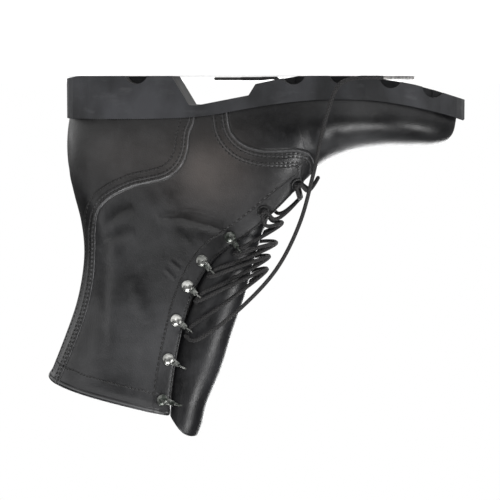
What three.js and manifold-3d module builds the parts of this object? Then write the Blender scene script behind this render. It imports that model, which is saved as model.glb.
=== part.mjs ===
// Left combat boot, in millimetres: +X towards the toe, +Y towards the outer side, +Z up from the floor.
// While it is built, x = 0 is the back of the heel and y = 0 the line from the heel to the toes.
// At the end the whole boot is moved back so that the origin is under the middle of the heel.
import * as THREE from "three";
import { mergeVertices } from "three/addons/utils/BufferGeometryUtils.js";
import Module from "manifold-3d";

// Driving dimensions
const soleLength = 305;
const ballWidth = 108;
const collarHeight = 258; // floor to the front of the collar
const heelHeight = 32; // floor to the top edge of the sole at the heel
const wall = 2.2; // leather and lining together
const quarterStep = 1.5; // the quarter lies this much proud of the vamp
const counterStep = 2.7; // counter and backstay, proud of the vamp
const bindingStep = 1.0; // the turned collar edge, proud of the quarter
const clearance = 0.3; // between neighbouring pieces
const lipHeight = 5; // the sole wall stands this far above the feather line
const featherInset = 5.6; // sole edge to the foot of the upper
const insoleThickness = 3;
const tongueThickness = 2.4;
const treadDepth = 5;
const notchRadius = 9;
const notchDrop = 3; // notch centres lie this far below the tread
const eyeletHole = 2.6;
const eyeletFlange = 4.6;
const rivetDome = 4.2;
const rivetShank = 1.5;
const rivetWasher = 3.6;
const edgeToRivet = 7.5; // facing edge to the rivets and eyelets
const ringRadius = 3.3; // lacing ring, to the middle of its wire
const ringWire = 0.8;
const laceDiameter = 3;
const agletLength = 22;
const agletRadius = 1.3;

const wasm = await Module();
wasm.setup();

// Interpolation

// Smooth curve through rows of a table, by row number.
function rowValue(rows, column, t) {
  const last = rows.length - 1;
  const i = Math.min(Math.max(Math.floor(t), 0), last - 1);
  const f = t - i;
  const at = (k) => rows[Math.min(Math.max(k, 0), last)][column];
  const [a, b, c, d] = [at(i - 1), at(i), at(i + 1), at(i + 2)];
  return b + 0.5 * f * (c - a + f * (2 * a - 5 * b + 4 * c - d + f * (3 * (b - c) + d - a)));
}

// Smooth curve through [place, value] rows at uneven places.
function placeValue(rows, column, place) {
  const last = rows.length - 1;
  let i = 0;
  while (i < last - 1 && place > rows[i + 1].at) i += 1;
  const slope = (k) => {
    const low = rows[Math.max(k - 1, 0)];
    const high = rows[Math.min(k + 1, last)];
    return (high[column] - low[column]) / (high.at - low.at);
  };
  const [p, q] = [rows[i], rows[i + 1]];
  const span = q.at - p.at;
  const f = Math.min(Math.max((place - p.at) / span, 0), 1);
  const [f2, f3] = [f * f, f * f * f];
  return (
    p[column] * (2 * f3 - 3 * f2 + 1) +
    slope(i) * span * (f3 - 2 * f2 + f) +
    q[column] * (3 * f2 - 2 * f3) +
    slope(i + 1) * span * (f3 - f2)
  );
}

const smooth = (f) => {
  const k = Math.min(Math.max(f, 0), 1);
  return k * k * (3 - 2 * k);
};

// Outline of the sole

// Half widths as shares of the ball width, along the length as shares of it, before the ends are rounded.
const outline = [
  { at: 0.0, lateral: 0.338, medial: 0.333 },
  { at: 0.15, lateral: 0.343, medial: 0.333 },
  { at: 0.3, lateral: 0.347, medial: 0.306 },
  { at: 0.4, lateral: 0.363, medial: 0.287 },
  { at: 0.5, lateral: 0.407, medial: 0.315 },
  { at: 0.6, lateral: 0.472, medial: 0.394 },
  { at: 0.66, lateral: 0.495, medial: 0.449 },
  { at: 0.72, lateral: 0.5, medial: 0.49 },
  { at: 0.8, lateral: 0.49, medial: 0.505 },
  { at: 0.9, lateral: 0.463, medial: 0.495 },
  { at: 1.0, lateral: 0.426, medial: 0.463 },
];
const heelRounding = { share: 0.125, power: 2.1 };
const toeRounding = { share: 0.21, power: 2.2 };
const toeShift = 9; // the toe point lies this far to the inner side
const toeShiftFrom = 0.72;

// The outline's y at x on one side (1 outer, -1 inner), for an outline inset all round.
function sideY(x, side, inset) {
  const share = (x - inset) / (soleLength - 2 * inset);
  const half = placeValue(outline, side > 0 ? "lateral" : "medial", share) * ballWidth - inset;
  const round = (distance, { share: reach, power }) => {
    const f = Math.min(Math.max(1 - distance / reach, 0), 1);
    return Math.pow(1 - Math.pow(f, power), 1 / power);
  };
  const ends = round(share, heelRounding) * round(1 - share, toeRounding);
  const middle = -toeShift * smooth((share - toeShiftFrom) / (1 - toeShiftFrom));
  return middle + side * half * ends;
}

function outlinePoints(inset, steps) {
  const points = [];
  const xAt = (k) => inset + (soleLength - 2 * inset) * 0.5 * (1 - Math.cos((Math.PI * k) / steps));
  for (let k = 0; k <= steps; k += 1) points.push([xAt(k), sideY(xAt(k), -1, inset)]);
  for (let k = steps - 1; k > 0; k -= 1) points.push([xAt(k), sideY(xAt(k), 1, inset)]);
  return points;
}

// Side view of the sole

// Top edge of the sole wall, as shares of the sole length and of the heel height.
const topEdge = [
  { at: 0.0, height: 1.0 },
  { at: 0.2, height: 1.0 },
  { at: 0.31, height: 0.97 },
  { at: 0.38, height: 0.9 },
  { at: 0.46, height: 0.76 },
  { at: 0.54, height: 0.64 },
  { at: 0.62, height: 0.56 },
  { at: 0.7, height: 0.54 },
  { at: 0.78, height: 0.58 },
  { at: 0.86, height: 0.7 },
  { at: 0.94, height: 0.88 },
  { at: 1.0, height: 1.05 },
];
const topEdgeZ = (x) => placeValue(topEdge, "height", x / soleLength) * heelHeight;
const featherZ = (x) => topEdgeZ(x) - lipHeight;

// Bottom of the sole: heel, breast, arch, step and forefoot with its toe spring.
const tread = [
  { at: -0.02, height: 0.09 },
  { at: 0.0, height: 0.06 },
  { at: 0.04, height: 0.0 },
  { at: 0.275, height: 0.0 },
  { at: 0.318, height: 0.68 },
  { at: 0.335, height: 0.69 },
  { at: 0.465, height: 0.45 },
  { at: 0.482, height: 0.19 },
  { at: 0.53, height: 0.09 },
  { at: 0.585, height: 0.0 },
  { at: 0.71, height: 0.0 },
  { at: 0.77, height: 0.045 },
  { at: 0.82, height: 0.11 },
  { at: 0.87, height: 0.205 },
  { at: 0.92, height: 0.33 },
  { at: 0.96, height: 0.45 },
  { at: 1.02, height: 0.62 },
];
function treadZ(x) {
  const share = x / soleLength;
  let i = 0;
  while (i < tread.length - 2 && share > tread[i + 1].at) i += 1;
  const [p, q] = [tread[i], tread[i + 1]];
  return heelHeight * (p.height + ((q.height - p.height) * (share - p.at)) / (q.at - p.at));
}

// Sections of the upper

// Rows of a table with named columns.
function named(columns, rows) {
  return rows.map((row) => Object.fromEntries(columns.map((name, k) => [name, row[k]])));
}

// One row for each section, from the toe over the instep to the collar. ridgeX and ridgeZ place its top or
// front, as shares of the sole length and the collar height. seat is its foot on the feather line, from 0 at
// the toe to 1 at the heel. follow is how far its half width follows the feather line, and lateral and medial
// are what is added, as shares of the ball width. widest is where along the section it is widest, and front
// and back are how square it is.
const footSections = named(
  ["ridgeX", "ridgeZ", "seat", "follow", "lateral", "medial", "widest", "front", "back"],
  [
    [0.975, 0.155, 0.0, 1, 0, 0, 0.7, 2.6, 2],
    [0.968, 0.174, 0.007, 1, 0.003, 0.003, 0.7, 2.6, 2],
    [0.951, 0.193, 0.029, 1, 0.01, 0.01, 0.7, 2.6, 2],
    [0.918, 0.204, 0.066, 1, 0.018, 0.018, 0.7, 2.6, 2],
    [0.859, 0.206, 0.128, 1, 0.023, 0.023, 0.68, 2.5, 2],
    [0.79, 0.208, 0.202, 1, 0.024, 0.024, 0.66, 2.3, 2],
    [0.72, 0.22, 0.281, 1, 0.026, 0.024, 0.66, 2.1, 2],
    [0.664, 0.244, 0.355, 1, 0.022, 0.02, 0.68, 1.95, 2],
    [0.623, 0.275, 0.434, 1, 0.014, 0.014, 0.7, 1.85, 2],
    [0.58, 0.325, 0.515, 1, 0.01, 0.014, 0.7, 1.8, 2],
    [0.536, 0.381, 0.604, 1, 0.01, 0.02, 0.68, 1.8, 2],
    [0.488, 0.434, 0.692, 0.8, 0.073, 0.075, 0.66, 1.8, 2],
    [0.44, 0.48, 0.781, 0.5, 0.167, 0.155, 0.62, 1.8, 2],
    [0.403, 0.511, 0.866, 0.25, 0.246, 0.235, 0.6, 1.85, 2],
    [0.38, 0.533, 0.934, 0, 0.319, 0.31, 0.57, 1.9, 2.1],
    [0.366, 0.552, 0.981, 0, 0.32, 0.312, 0.56, 1.95, 2.2],
    [0.354, 0.571, 1.0, 0, 0.322, 0.315, 0.55, 2, 2.2],
  ],
);
// Above the heel each section ends on the back seam, at backX and backZ.
const shaftSections = named(
  ["ridgeX", "ridgeZ", "backX", "backZ", "lateral", "medial", "widest", "front", "back"],
  [
    [0.342, 0.594, 0.008, 0.174, 0.326, 0.32, 0.54, 2, 2.2],
    [0.33, 0.622, 0.009, 0.256, 0.331, 0.326, 0.53, 2, 2.2],
    [0.318, 0.656, 0.024, 0.341, 0.335, 0.331, 0.52, 2, 2.1],
    [0.306, 0.696, 0.042, 0.426, 0.338, 0.334, 0.51, 2, 2.1],
    [0.296, 0.742, 0.05, 0.507, 0.342, 0.338, 0.5, 2, 2.1],
    [0.286, 0.796, 0.045, 0.592, 0.348, 0.344, 0.5, 2, 2.1],
    [0.276, 0.857, 0.028, 0.684, 0.355, 0.352, 0.5, 2, 2.1],
    [0.268, 0.924, -0.004, 0.79, 0.363, 0.36, 0.5, 2, 2.1],
    [0.26, 1.0, -0.044, 0.908, 0.372, 0.37, 0.5, 2, 2.1],
  ],
);
const throatRow = 8; // the throat opens here
const heelRow = footSections.length - 1;
const toeEnd = soleLength - featherInset;
const featherLength = soleLength - 2 * featherInset;
const sections = [
  ...footSections.map((row) => {
    const footX = toeEnd - row.seat * featherLength;
    return { ...row, footX, footZ: featherZ(footX) };
  }),
  ...shaftSections.map((row) => {
    return { ...row, seat: 1, follow: 0, footX: row.backX * soleLength, footZ: row.backZ * collarHeight };
  }),
];
const collarRow = sections.length - 1;

// Half width of the open throat, by section, as shares of the ball width.
const throatGap = [
  { at: throatRow, half: 0.09 },
  { at: 9, half: 0.12 },
  { at: 10, half: 0.16 },
  { at: 12, half: 0.215 },
  { at: 14, half: 0.245 },
  { at: 17, half: 0.265 },
  { at: collarRow, half: 0.275 },
];
const throatRounding = 0.7; // sections over which the throat's end is rounded
function gapAt(t) {
  if (t <= throatRow) return 0;
  const f = Math.min((t - throatRow) / throatRounding, 1);
  return placeValue(throatGap, "half", t) * ballWidth * Math.sqrt(1 - (1 - f) * (1 - f));
}

// Foot of a section: on the feather line for the foot, on the back seam for the shaft.
function footAt(t) {
  if (t >= heelRow) {
    return [rowValue(sections, "footX", t), 0, rowValue(sections, "footZ", t)];
  }
  const x = toeEnd - Math.min(rowValue(sections, "seat", t), 1) * featherLength;
  return [x, null, featherZ(x)];
}

// A point of the upper's outer surface: t is the section, turn runs from 0 at the ridge or facing edge
// to 1 at the feather line or back seam, and side is 1 outer or -1 inner.
function upperPoint(t, turn, side) {
  const row = (column) => rowValue(sections, column, t);
  const ridge = [row("ridgeX") * soleLength, row("ridgeZ") * collarHeight];
  const [footX, , footZ] = footAt(t);
  const onFeather = t < heelRow;
  const featherY = onFeather ? sideY(footX, side, featherInset) : 0;
  const middle = onFeather ? (sideY(footX, 1, featherInset) + sideY(footX, -1, featherInset)) / 2 : 0;
  const lift = row("follow");
  const added = row(side > 0 ? "lateral" : "medial") * ballWidth;
  const half = lift * Math.abs(featherY - middle * lift) + added;
  const gap = gapAt(t);
  const angle = turn * Math.PI;
  const widest = row("widest");
  let along;
  let out;
  if (turn <= 0.5) {
    const power = 2 / row("front");
    along = widest * (1 - Math.pow(Math.max(Math.cos(angle), 0), power));
    out = gap + (half - gap) * Math.pow(Math.sin(angle), power);
  } else {
    const power = 2 / row("back");
    const foot = Math.abs(featherY - middle * lift);
    along = widest + (1 - widest) * Math.pow(Math.sin(angle - Math.PI / 2), power);
    out = foot + (half - foot) * Math.pow(Math.max(Math.cos(angle - Math.PI / 2), 0), power);
  }
  return new THREE.Vector3(
    ridge[0] + (footX - ridge[0]) * along,
    middle * lift + side * out,
    ridge[1] + (footZ - ridge[1]) * along,
  );
}

// Solids

function solidFrom(positions, triangles) {
  const geometry = new THREE.BufferGeometry();
  geometry.setAttribute("position", new THREE.Float32BufferAttribute(positions, 3));
  if (triangles) geometry.setIndex(triangles);
  return solidOf(geometry);
}

function solidOf(geometry) {
  const bare = geometry.clone();
  for (const name of Object.keys(bare.attributes)) {
    if (name !== "position") bare.deleteAttribute(name);
  }
  const merged = mergeVertices(bare, 1e-4);
  return new wasm.Manifold(
    new wasm.Mesh({
      numProp: 3,
      vertProperties: new Float32Array(merged.attributes.position.array),
      triVerts: new Uint32Array(merged.index.array),
    }),
  );
}

function geometryOf(solid) {
  const mesh = solid.getMesh();
  const geometry = new THREE.BufferGeometry();
  geometry.setAttribute("position", new THREE.BufferAttribute(mesh.vertProperties, 3));
  geometry.setIndex(new THREE.BufferAttribute(mesh.triVerts, 1));
  return geometry;
}

// A plan outline drawn up from z = low to z = high.
function planSolid(points, low, high) {
  const shape = new THREE.Shape(points.map(([x, y]) => new THREE.Vector2(x, y)));
  const geometry = new THREE.ExtrudeGeometry(shape, { depth: high - low, bevelEnabled: false });
  return solidOf(geometry.translate(0, 0, low));
}

// A side-view outline of [x, z] points drawn across from y = low to y = high.
function acrossSolid(points, low, high) {
  const shape = new THREE.Shape(points.map(([x, z]) => new THREE.Vector2(x, z)));
  const geometry = new THREE.ExtrudeGeometry(shape, { depth: high - low, bevelEnabled: false });
  return solidOf(geometry.rotateX(Math.PI / 2).translate(0, high, 0));
}

const REACH = 200; // past every edge of the boot

// Grid of the upper

const ACROSS = 10; // cells from the ridge to the feather line
const rowSteps = [0, 0.4, 1, 1.5, 2, 3, 4, 5, 6, 7, 8, 8.06, 8.25, 8.7, 9.5, 10.5, 11.5, 12.5, 13.5, 14.3];
rowSteps.push(15, 15.5, 15.8, 16, 16.5);
for (let t = 17; t <= collarRow; t += 1) rowSteps.push(t);

const turnAt = (j) => j / ACROSS;

// Surface of the upper from one section to another: points, triangles facing out and normals.
function upperSurface(steps) {
  const points = [];
  const onFeather = [];
  const index = new Map();
  const vertex = (i, j, side) => {
    const t = steps[i];
    const shared = t === 0 || (j === 0 && t <= throatRow) || (j === ACROSS && t >= heelRow);
    const key = `${i},${j},${shared ? 0 : side}`;
    if (!index.has(key)) {
      index.set(key, points.length);
      const point = upperPoint(t, turnAt(j), side);
      if (shared) point.y = (point.y + upperPoint(t, turnAt(j), -side).y) / 2;
      points.push(point);
      onFeather.push(t === 0 ? j === ACROSS : j === ACROSS && t <= heelRow);
    }
    return index.get(key);
  };
  const triangles = [];
  const face = (a, b, c) => {
    if (a !== b && b !== c && a !== c) triangles.push([a, b, c]);
  };
  for (let i = 0; i < steps.length - 1; i += 1) {
    for (let j = 0; j < ACROSS; j += 1) {
      for (const side of [1, -1]) {
        const [a, b] = [vertex(i, j, side), vertex(i + 1, j, side)];
        const [d, c] = [vertex(i, j + 1, side), vertex(i + 1, j + 1, side)];
        if (side > 0) {
          face(a, c, b);
          face(a, d, c);
        } else {
          face(a, b, c);
          face(a, c, d);
        }
      }
    }
  }
  const normals = points.map(() => new THREE.Vector3());
  for (const [a, b, c] of triangles) {
    const cross = new THREE.Vector3()
      .subVectors(points[b], points[a])
      .cross(new THREE.Vector3().subVectors(points[c], points[a]));
    for (const v of [a, b, c]) normals[v].add(cross);
  }
  normals.forEach((normal, k) => {
    if (onFeather[k]) normal.z = 0; // the foot of the wall stays level
    normal.normalize();
  });
  return { points, triangles, normals };
}

// A closed skin between two offsets of a surface, with its open edges walled.
function skin({ points, triangles, normals }, inner, outer) {
  const count = points.length;
  const positions = [];
  for (const offset of [outer, inner]) {
    points.forEach((point, k) => {
      const distance = typeof offset === "function" ? offset(point) : offset;
      const moved = point.clone().addScaledVector(normals[k], distance);
      positions.push(moved.x, moved.y, moved.z);
    });
  }
  const open = new Map();
  const faces = [];
  for (const [a, b, c] of triangles) {
    faces.push(a, b, c, count + a, count + c, count + b);
    for (const [p, q] of [[a, b], [b, c], [c, a]]) {
      if (open.has(`${q},${p}`)) open.delete(`${q},${p}`);
      else open.set(`${p},${q}`, [p, q]);
    }
  }
  for (const [p, q] of open.values()) faces.push(p, count + p, q, q, count + p, count + q);
  return solidFrom(positions, faces);
}

const surface = upperSurface(rowSteps);

// Seams, seen from the side

// Front edge of the quarter over the vamp, as shares of the sole length and the collar height.
const quarterEdge = [
  [0.41, 0.0],
  [0.412, 0.115],
  [0.42, 0.16],
  [0.446, 0.195],
  [0.488, 0.214],
  [0.54, 0.216],
  [0.585, 0.214],
  [0.612, 0.226],
  [0.624, 0.25],
  [0.622, 0.286],
];
// Front edge of the counter, which runs up into the backstay.
const counterEdge = [
  [0.332, 0.0],
  [0.33, 0.13],
  [0.319, 0.165],
  [0.312, 0.223],
  [0.295, 0.265],
  [0.267, 0.294],
  [0.222, 0.31],
  [0.184, 0.32],
  [0.149, 0.337],
  [0.114, 0.363],
  [0.092, 0.396],
  [0.083, 0.443],
  [0.08, 0.514],
  [0.074, 0.6],
  [0.058, 0.69],
  [0.027, 0.79],
  [-0.012, 0.9],
  [-0.025, 0.96],
];
const inMillimetres = (points, shift) => {
  return points.map(([x, z]) => [x * soleLength + shift, z * collarHeight]);
};
const beyond = { back: -REACH, above: collarHeight + REACH };

function quarterPrism(shift) {
  const edge = inMillimetres(quarterEdge, shift);
  const above = [
    [soleLength + REACH, 0.4 * collarHeight],
    [soleLength + REACH, beyond.above],
    [beyond.back, beyond.above],
    [beyond.back, 0],
  ];
  return acrossSolid([...edge, ...above], -REACH, REACH);
}

function counterPrism(shift) {
  const edge = inMillimetres(counterEdge, shift);
  const top = edge[edge.length - 1];
  const behind = [
    [top[0], beyond.above],
    [beyond.back, beyond.above],
    [beyond.back, 0],
  ];
  return acrossSolid([...edge, ...behind], -REACH, REACH);
}

// Hardware along the facings: the section of each row of holes.
const eyeletRows = [8.95, 10.6];
const ringRows = [12.3, 15.4, 18.3, 20.75, 22.75, 24.4];

// Point, outward normal, way to the throat and way up the facing, at a distance from the facing's edge.
function facingFrame(t, side, distance) {
  const at = (row, turn) => upperPoint(row, turn, side);
  let low = 0;
  let high = 0.4;
  for (let k = 0; k < 24; k += 1) {
    const turn = (low + high) / 2;
    if (at(t, turn).distanceTo(at(t, 0)) < distance) low = turn;
    else high = turn;
  }
  const turn = (low + high) / 2;
  const point = at(t, turn);
  const inward = at(t, turn - 0.01).sub(at(t, turn + 0.01)).normalize();
  const upward = at(t + 0.1, turn).sub(at(t - 0.1, turn)).normalize();
  const normal = new THREE.Vector3().crossVectors(upward, inward).multiplyScalar(side).normalize();
  upward.crossVectors(normal, inward).multiplyScalar(-side).normalize();
  return { point, normal, inward, upward };
}

// Turns a geometry whose own z is the normal and x the way to the throat into place on a facing.
function onFacing(geometry, frame, lift) {
  const y = new THREE.Vector3().crossVectors(frame.normal, frame.inward);
  const matrix = new THREE.Matrix4().makeBasis(frame.inward, y, frame.normal);
  matrix.setPosition(frame.point.clone().addScaledVector(frame.normal, lift));
  return geometry.applyMatrix4(matrix);
}

const ROUND = 8; // sides of the small round pieces
function turned(profile) {
  const lathe = new THREE.LatheGeometry(
    profile.map(([r, z]) => new THREE.Vector2(r, z)),
    ROUND,
  );
  return lathe.rotateX(Math.PI / 2);
}

const facingOuter = quarterStep; // the hardware sits on the quarter
const facingInner = -wall;

function disc(radius, low, high, frame) {
  const profile = [[0, low], [radius, low], [radius, high], [0, high]];
  return solidOf(onFacing(turned(profile), frame, 0));
}

// What a piece of hardware needs cut from the upper: its hole and flat seats for its heads.
function seatsFor({ frame, hole, head, washer }) {
  const depth = 6;
  return disc(hole + clearance, -depth, depth, frame)
    .add(disc(head + clearance, facingOuter, depth, frame))
    .add(disc(washer + clearance, -depth, facingInner, frame));
}

function eyeletSolid(frame) {
  const flange = 0.9;
  const top = facingOuter + clearance;
  const bottom = facingInner - clearance;
  const barrel = eyeletHole + 0.6;
  const profile = [
    [eyeletHole, bottom - flange],
    [eyeletFlange - 0.4, bottom - flange],
    [eyeletFlange - 0.4, bottom],
    [barrel, bottom],
    [barrel, top],
    [eyeletFlange, top],
    [eyeletFlange - 0.3, top + 0.6],
    [eyeletHole + 0.7, top + flange],
    [eyeletHole, top + 0.4],
    [eyeletHole, bottom - flange],
  ];
  return solidOf(onFacing(turned(profile), frame, 0));
}

// Domed rivet through the facing, with a strap that carries the lacing ring past the facing's edge.
function ringSolid(frame) {
  const top = facingOuter + clearance;
  const bottom = facingInner - clearance;
  const strapThickness = 1;
  const strapWidth = 5.4;
  const domeHeight = 2.8;
  const washerThickness = 0.8;
  const domeBase = top + strapThickness - 0.1;
  const profile = [
    [0, bottom - washerThickness],
    [rivetWasher, bottom - washerThickness],
    [rivetWasher, bottom],
    [rivetShank, bottom],
    [rivetShank, domeBase],
    [rivetDome, domeBase],
    [rivetDome * 0.78, domeBase + domeHeight * 0.6],
    [0, domeBase + domeHeight],
  ];
  const ringCentre = edgeToRivet + ringRadius + ringWire + 0.4;
  const ringLift = top + ringRadius * 0.45;
  const strapEnd = ringCentre - ringRadius + 0.5;
  const strap = new THREE.BoxGeometry(strapEnd + rivetShank, strapWidth, strapThickness);
  strap.translate((strapEnd - rivetShank) / 2, 0, top + strapThickness / 2);
  const ring = new THREE.TorusGeometry(ringRadius, ringWire, 5, 10).rotateX(Math.PI / 2);
  ring.translate(ringCentre, 0, ringLift);
  return solidOf(onFacing(turned(profile), frame, 0))
    .add(solidOf(onFacing(strap, frame, 0)))
    .add(solidOf(onFacing(ring, frame, 0)));
}

const hardware = [];
for (const side of [1, -1]) {
  const place = side > 0 ? "lateral" : "medial";
  eyeletRows.forEach((t, k) => {
    const frame = facingFrame(t, side, edgeToRivet);
    const sizes = { hole: eyeletHole + 0.6, head: eyeletFlange, washer: eyeletFlange - 0.4 };
    hardware.push({ name: `eyelet_${place}_${k + 1}`, frame, solid: eyeletSolid(frame), ...sizes });
  });
  ringRows.forEach((t, k) => {
    const frame = facingFrame(t, side, edgeToRivet);
    const sizes = { hole: rivetShank, head: rivetDome, washer: rivetWasher };
    hardware.push({ name: `lace_ring_${place}_${k + 1}`, frame, solid: ringSolid(frame), ...sizes });
  });
}

// Upper

const SEAM_BITE = 0.6; // a raised panel starts this far inside the wall, so that it joins it

function upperSolid() {
  const base = skin(surface, -wall, 0);
  const quarter = skin(surface, -SEAM_BITE, quarterStep).intersect(quarterPrism(0));
  const counter = skin(surface, -SEAM_BITE, counterStep).intersect(counterPrism(0));
  const cuffSteps = [collarRow - 0.33, collarRow - 0.16, collarRow + 0.02];
  const cuff = skin(upperSurface(cuffSteps), -wall - bindingStep, counterStep + bindingStep);
  let solid = base.add(quarter).add(counter).add(cuff);
  for (const piece of hardware) solid = solid.subtract(seatsFor(piece));
  return solid;
}

// Sole

const SIDE_STEPS = 32;
// Side-view outline between the tread, raised by some amount, and the top edge, lowered by some amount.
function sideOutline(raise, lower) {
  const points = tread.map(({ at, height }) => [at * soleLength, height * heelHeight + raise]);
  for (let k = SIDE_STEPS; k >= 0; k -= 1) {
    const x = soleLength * (-0.02 + (1.04 * k) / SIDE_STEPS);
    points.push([x, topEdgeZ(x) - lower]);
  }
  return points;
}

// Everything above a line that lies some way under the top edge.
function aboveTopEdge(lower) {
  const points = [];
  for (let k = 0; k <= SIDE_STEPS; k += 1) {
    const x = soleLength * (-0.02 + (1.04 * k) / SIDE_STEPS);
    points.push([x, topEdgeZ(x) - lower]);
  }
  points.push([soleLength * 1.02, REACH], [soleLength * -0.02, REACH]);
  return acrossSolid(points, -REACH, REACH);
}

// Everything under the tread raised by the depth of its grooves.
function treadLayer() {
  const points = tread.map(({ at, height }) => [at * soleLength, height * heelHeight + treadDepth]);
  const [first, last] = [points[0], points[points.length - 1]];
  return acrossSolid([[first[0], -REACH], [last[0], -REACH], ...points.reverse()], -REACH, REACH);
}

const heelRestX = 0.16; // middle of the heel's tread, as a share of the sole length
const forefootNotches = [0.575, 0.69, 0.812, 0.917]; // shares of the sole length
const heelNotches = [0.188];
const centreHalf = 17; // half width of the middle row of lugs
const grooveWidth = 6;

function bar(x0, x1, y0, y1) {
  return planSolid([[x0, y0], [x1, y0], [x1, y1], [x0, y1]], -REACH, REACH);
}

function grooves() {
  const plans = [];
  const from = forefootNotches[0] * soleLength;
  const to = forefootNotches[3] * soleLength;
  for (const side of [1, -1]) {
    const [near, far] = [side * centreHalf, side * (centreHalf - grooveWidth)].sort((a, b) => a - b);
    plans.push(bar(from, to, near, far));
    plans.push(bar(0.09 * soleLength, 0.24 * soleLength, side * 12 - 2.5, side * 12 + 2.5));
  }
  for (let k = 0; k < forefootNotches.length - 1; k += 1) {
    const x = ((forefootNotches[k] + forefootNotches[k + 1]) / 2) * soleLength;
    plans.push(bar(x - grooveWidth / 2, x + grooveWidth / 2, -centreHalf, centreHalf));
  }
  const all = plans.reduce((sum, plan) => sum.add(plan));
  return all.intersect(treadLayer());
}

function notches() {
  const cuts = [];
  for (const share of [...forefootNotches, ...heelNotches]) {
    const x = share * soleLength;
    const inner = heelNotches.includes(share) ? 12 : centreHalf - 2;
    for (const side of [1, -1]) {
      const cut = new THREE.CylinderGeometry(notchRadius, notchRadius, REACH, 20);
      cut.translate(x, side * (inner + REACH / 2), treadZ(x) - notchDrop);
      cuts.push(solidOf(cut));
    }
  }
  return cuts.reduce((sum, cut) => sum.add(cut));
}

// What the upper and the insole need inside the sole, with the clearance round them.
function socket() {
  const inside = -2 * wall;
  const around = clearance + 0.2;
  const grown = skin(surface, inside, around)
    .add(skin(surface, inside, quarterStep + around).intersect(quarterPrism(around)))
    .add(skin(surface, inside, counterStep + around).intersect(counterPrism(around)));
  const plan = planSolid(outlinePoints(featherInset - 2 * around, 32), -REACH, REACH);
  const foot = planSolid(outlinePoints(featherInset - counterStep - 2 * around, 32), -REACH, REACH);
  const floor = aboveTopEdge(lipHeight + around);
  const heelRoom = foot.intersect(bar(-REACH, counterEdge[0][0] * soleLength, -REACH, REACH));
  const footRoom = foot.intersect(floor).subtract(aboveTopEdge(lipHeight - around)).add(heelRoom.intersect(floor));
  return plan.intersect(floor).add(footRoom).add(grown);
}

function outsoleSolid() {
  return planSolid(outlinePoints(0, 30), -REACH, REACH)
    .intersect(acrossSolid(sideOutline(0, 0), -REACH, REACH))
    .subtract(socket())
    .subtract(notches())
    .subtract(grooves());
}

function insoleSolid() {
  const plan = planSolid(outlinePoints(featherInset + wall + 1, 20), -REACH, REACH);
  const slab = aboveTopEdge(lipHeight).subtract(aboveTopEdge(lipHeight - insoleThickness));
  return plan.intersect(slab);
}

// Tongue

// One row for each section up the middle line. x and z place its front, as shares of the sole length and the
// collar height. half and depth are its half width and its depth, and middle is how far it lies to the outer
// side, as shares of the ball width. turn is how far its wings turn back, in degrees.
const tongueSections = [
  { x: 0.664, z: 0.213, half: 0.1, depth: 0.03, turn: 78, middle: 0.026 },
  { x: 0.628, z: 0.243, half: 0.105, depth: 0.035, turn: 80, middle: 0.037 },
  { x: 0.59, z: 0.29, half: 0.112, depth: 0.045, turn: 84, middle: 0.043 },
  { x: 0.553, z: 0.341, half: 0.125, depth: 0.07, turn: 90, middle: 0.043 },
  { x: 0.52, z: 0.4, half: 0.148, depth: 0.115, turn: 96, middle: 0.037 },
  { x: 0.495, z: 0.462, half: 0.172, depth: 0.165, turn: 102, middle: 0.028 },
  { x: 0.477, z: 0.526, half: 0.192, depth: 0.21, turn: 106, middle: 0.017 },
  { x: 0.463, z: 0.59, half: 0.208, depth: 0.24, turn: 108, middle: 0.007 },
  { x: 0.45, z: 0.65, half: 0.22, depth: 0.255, turn: 110, middle: 0 },
  { x: 0.432, z: 0.718, half: 0.228, depth: 0.255, turn: 110, middle: 0 },
  { x: 0.408, z: 0.795, half: 0.234, depth: 0.25, turn: 110, middle: 0 },
  { x: 0.383, z: 0.88, half: 0.238, depth: 0.235, turn: 108, middle: 0 },
  { x: 0.36, z: 0.965, half: 0.24, depth: 0.205, turn: 104, middle: 0 },
  { x: 0.345, z: 1.025, half: 0.222, depth: 0.15, turn: 98, middle: 0 },
  { x: 0.336, z: 1.062, half: 0.175, depth: 0.085, turn: 90, middle: 0 },
  { x: 0.332, z: 1.08, half: 0.09, depth: 0.02, turn: 78, middle: 0 },
];
const tongueTop = tongueSections.length - 1;

// A point of the tongue's outer face: s is the section, v runs from -1 on the inner side to 1 on the outer.
function tonguePoint(s, v) {
  const row = (column, at) => rowValue(tongueSections, column, at);
  const middle = (at) => new THREE.Vector2(row("x", at) * soleLength, row("z", at) * collarHeight);
  const along = middle(Math.min(s + 0.1, tongueTop)).sub(middle(Math.max(s - 0.1, 0))).normalize();
  const forward = new THREE.Vector2(along.y, -along.x);
  const turn = v * THREE.MathUtils.degToRad(row("turn", s));
  const back = (Math.cos(turn) - 1) * row("depth", s) * ballWidth;
  const front = middle(s);
  return new THREE.Vector3(
    front.x + forward.x * back,
    (row("middle", s) + Math.sin(turn) * row("half", s)) * ballWidth,
    front.y + forward.y * back,
  );
}

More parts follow.
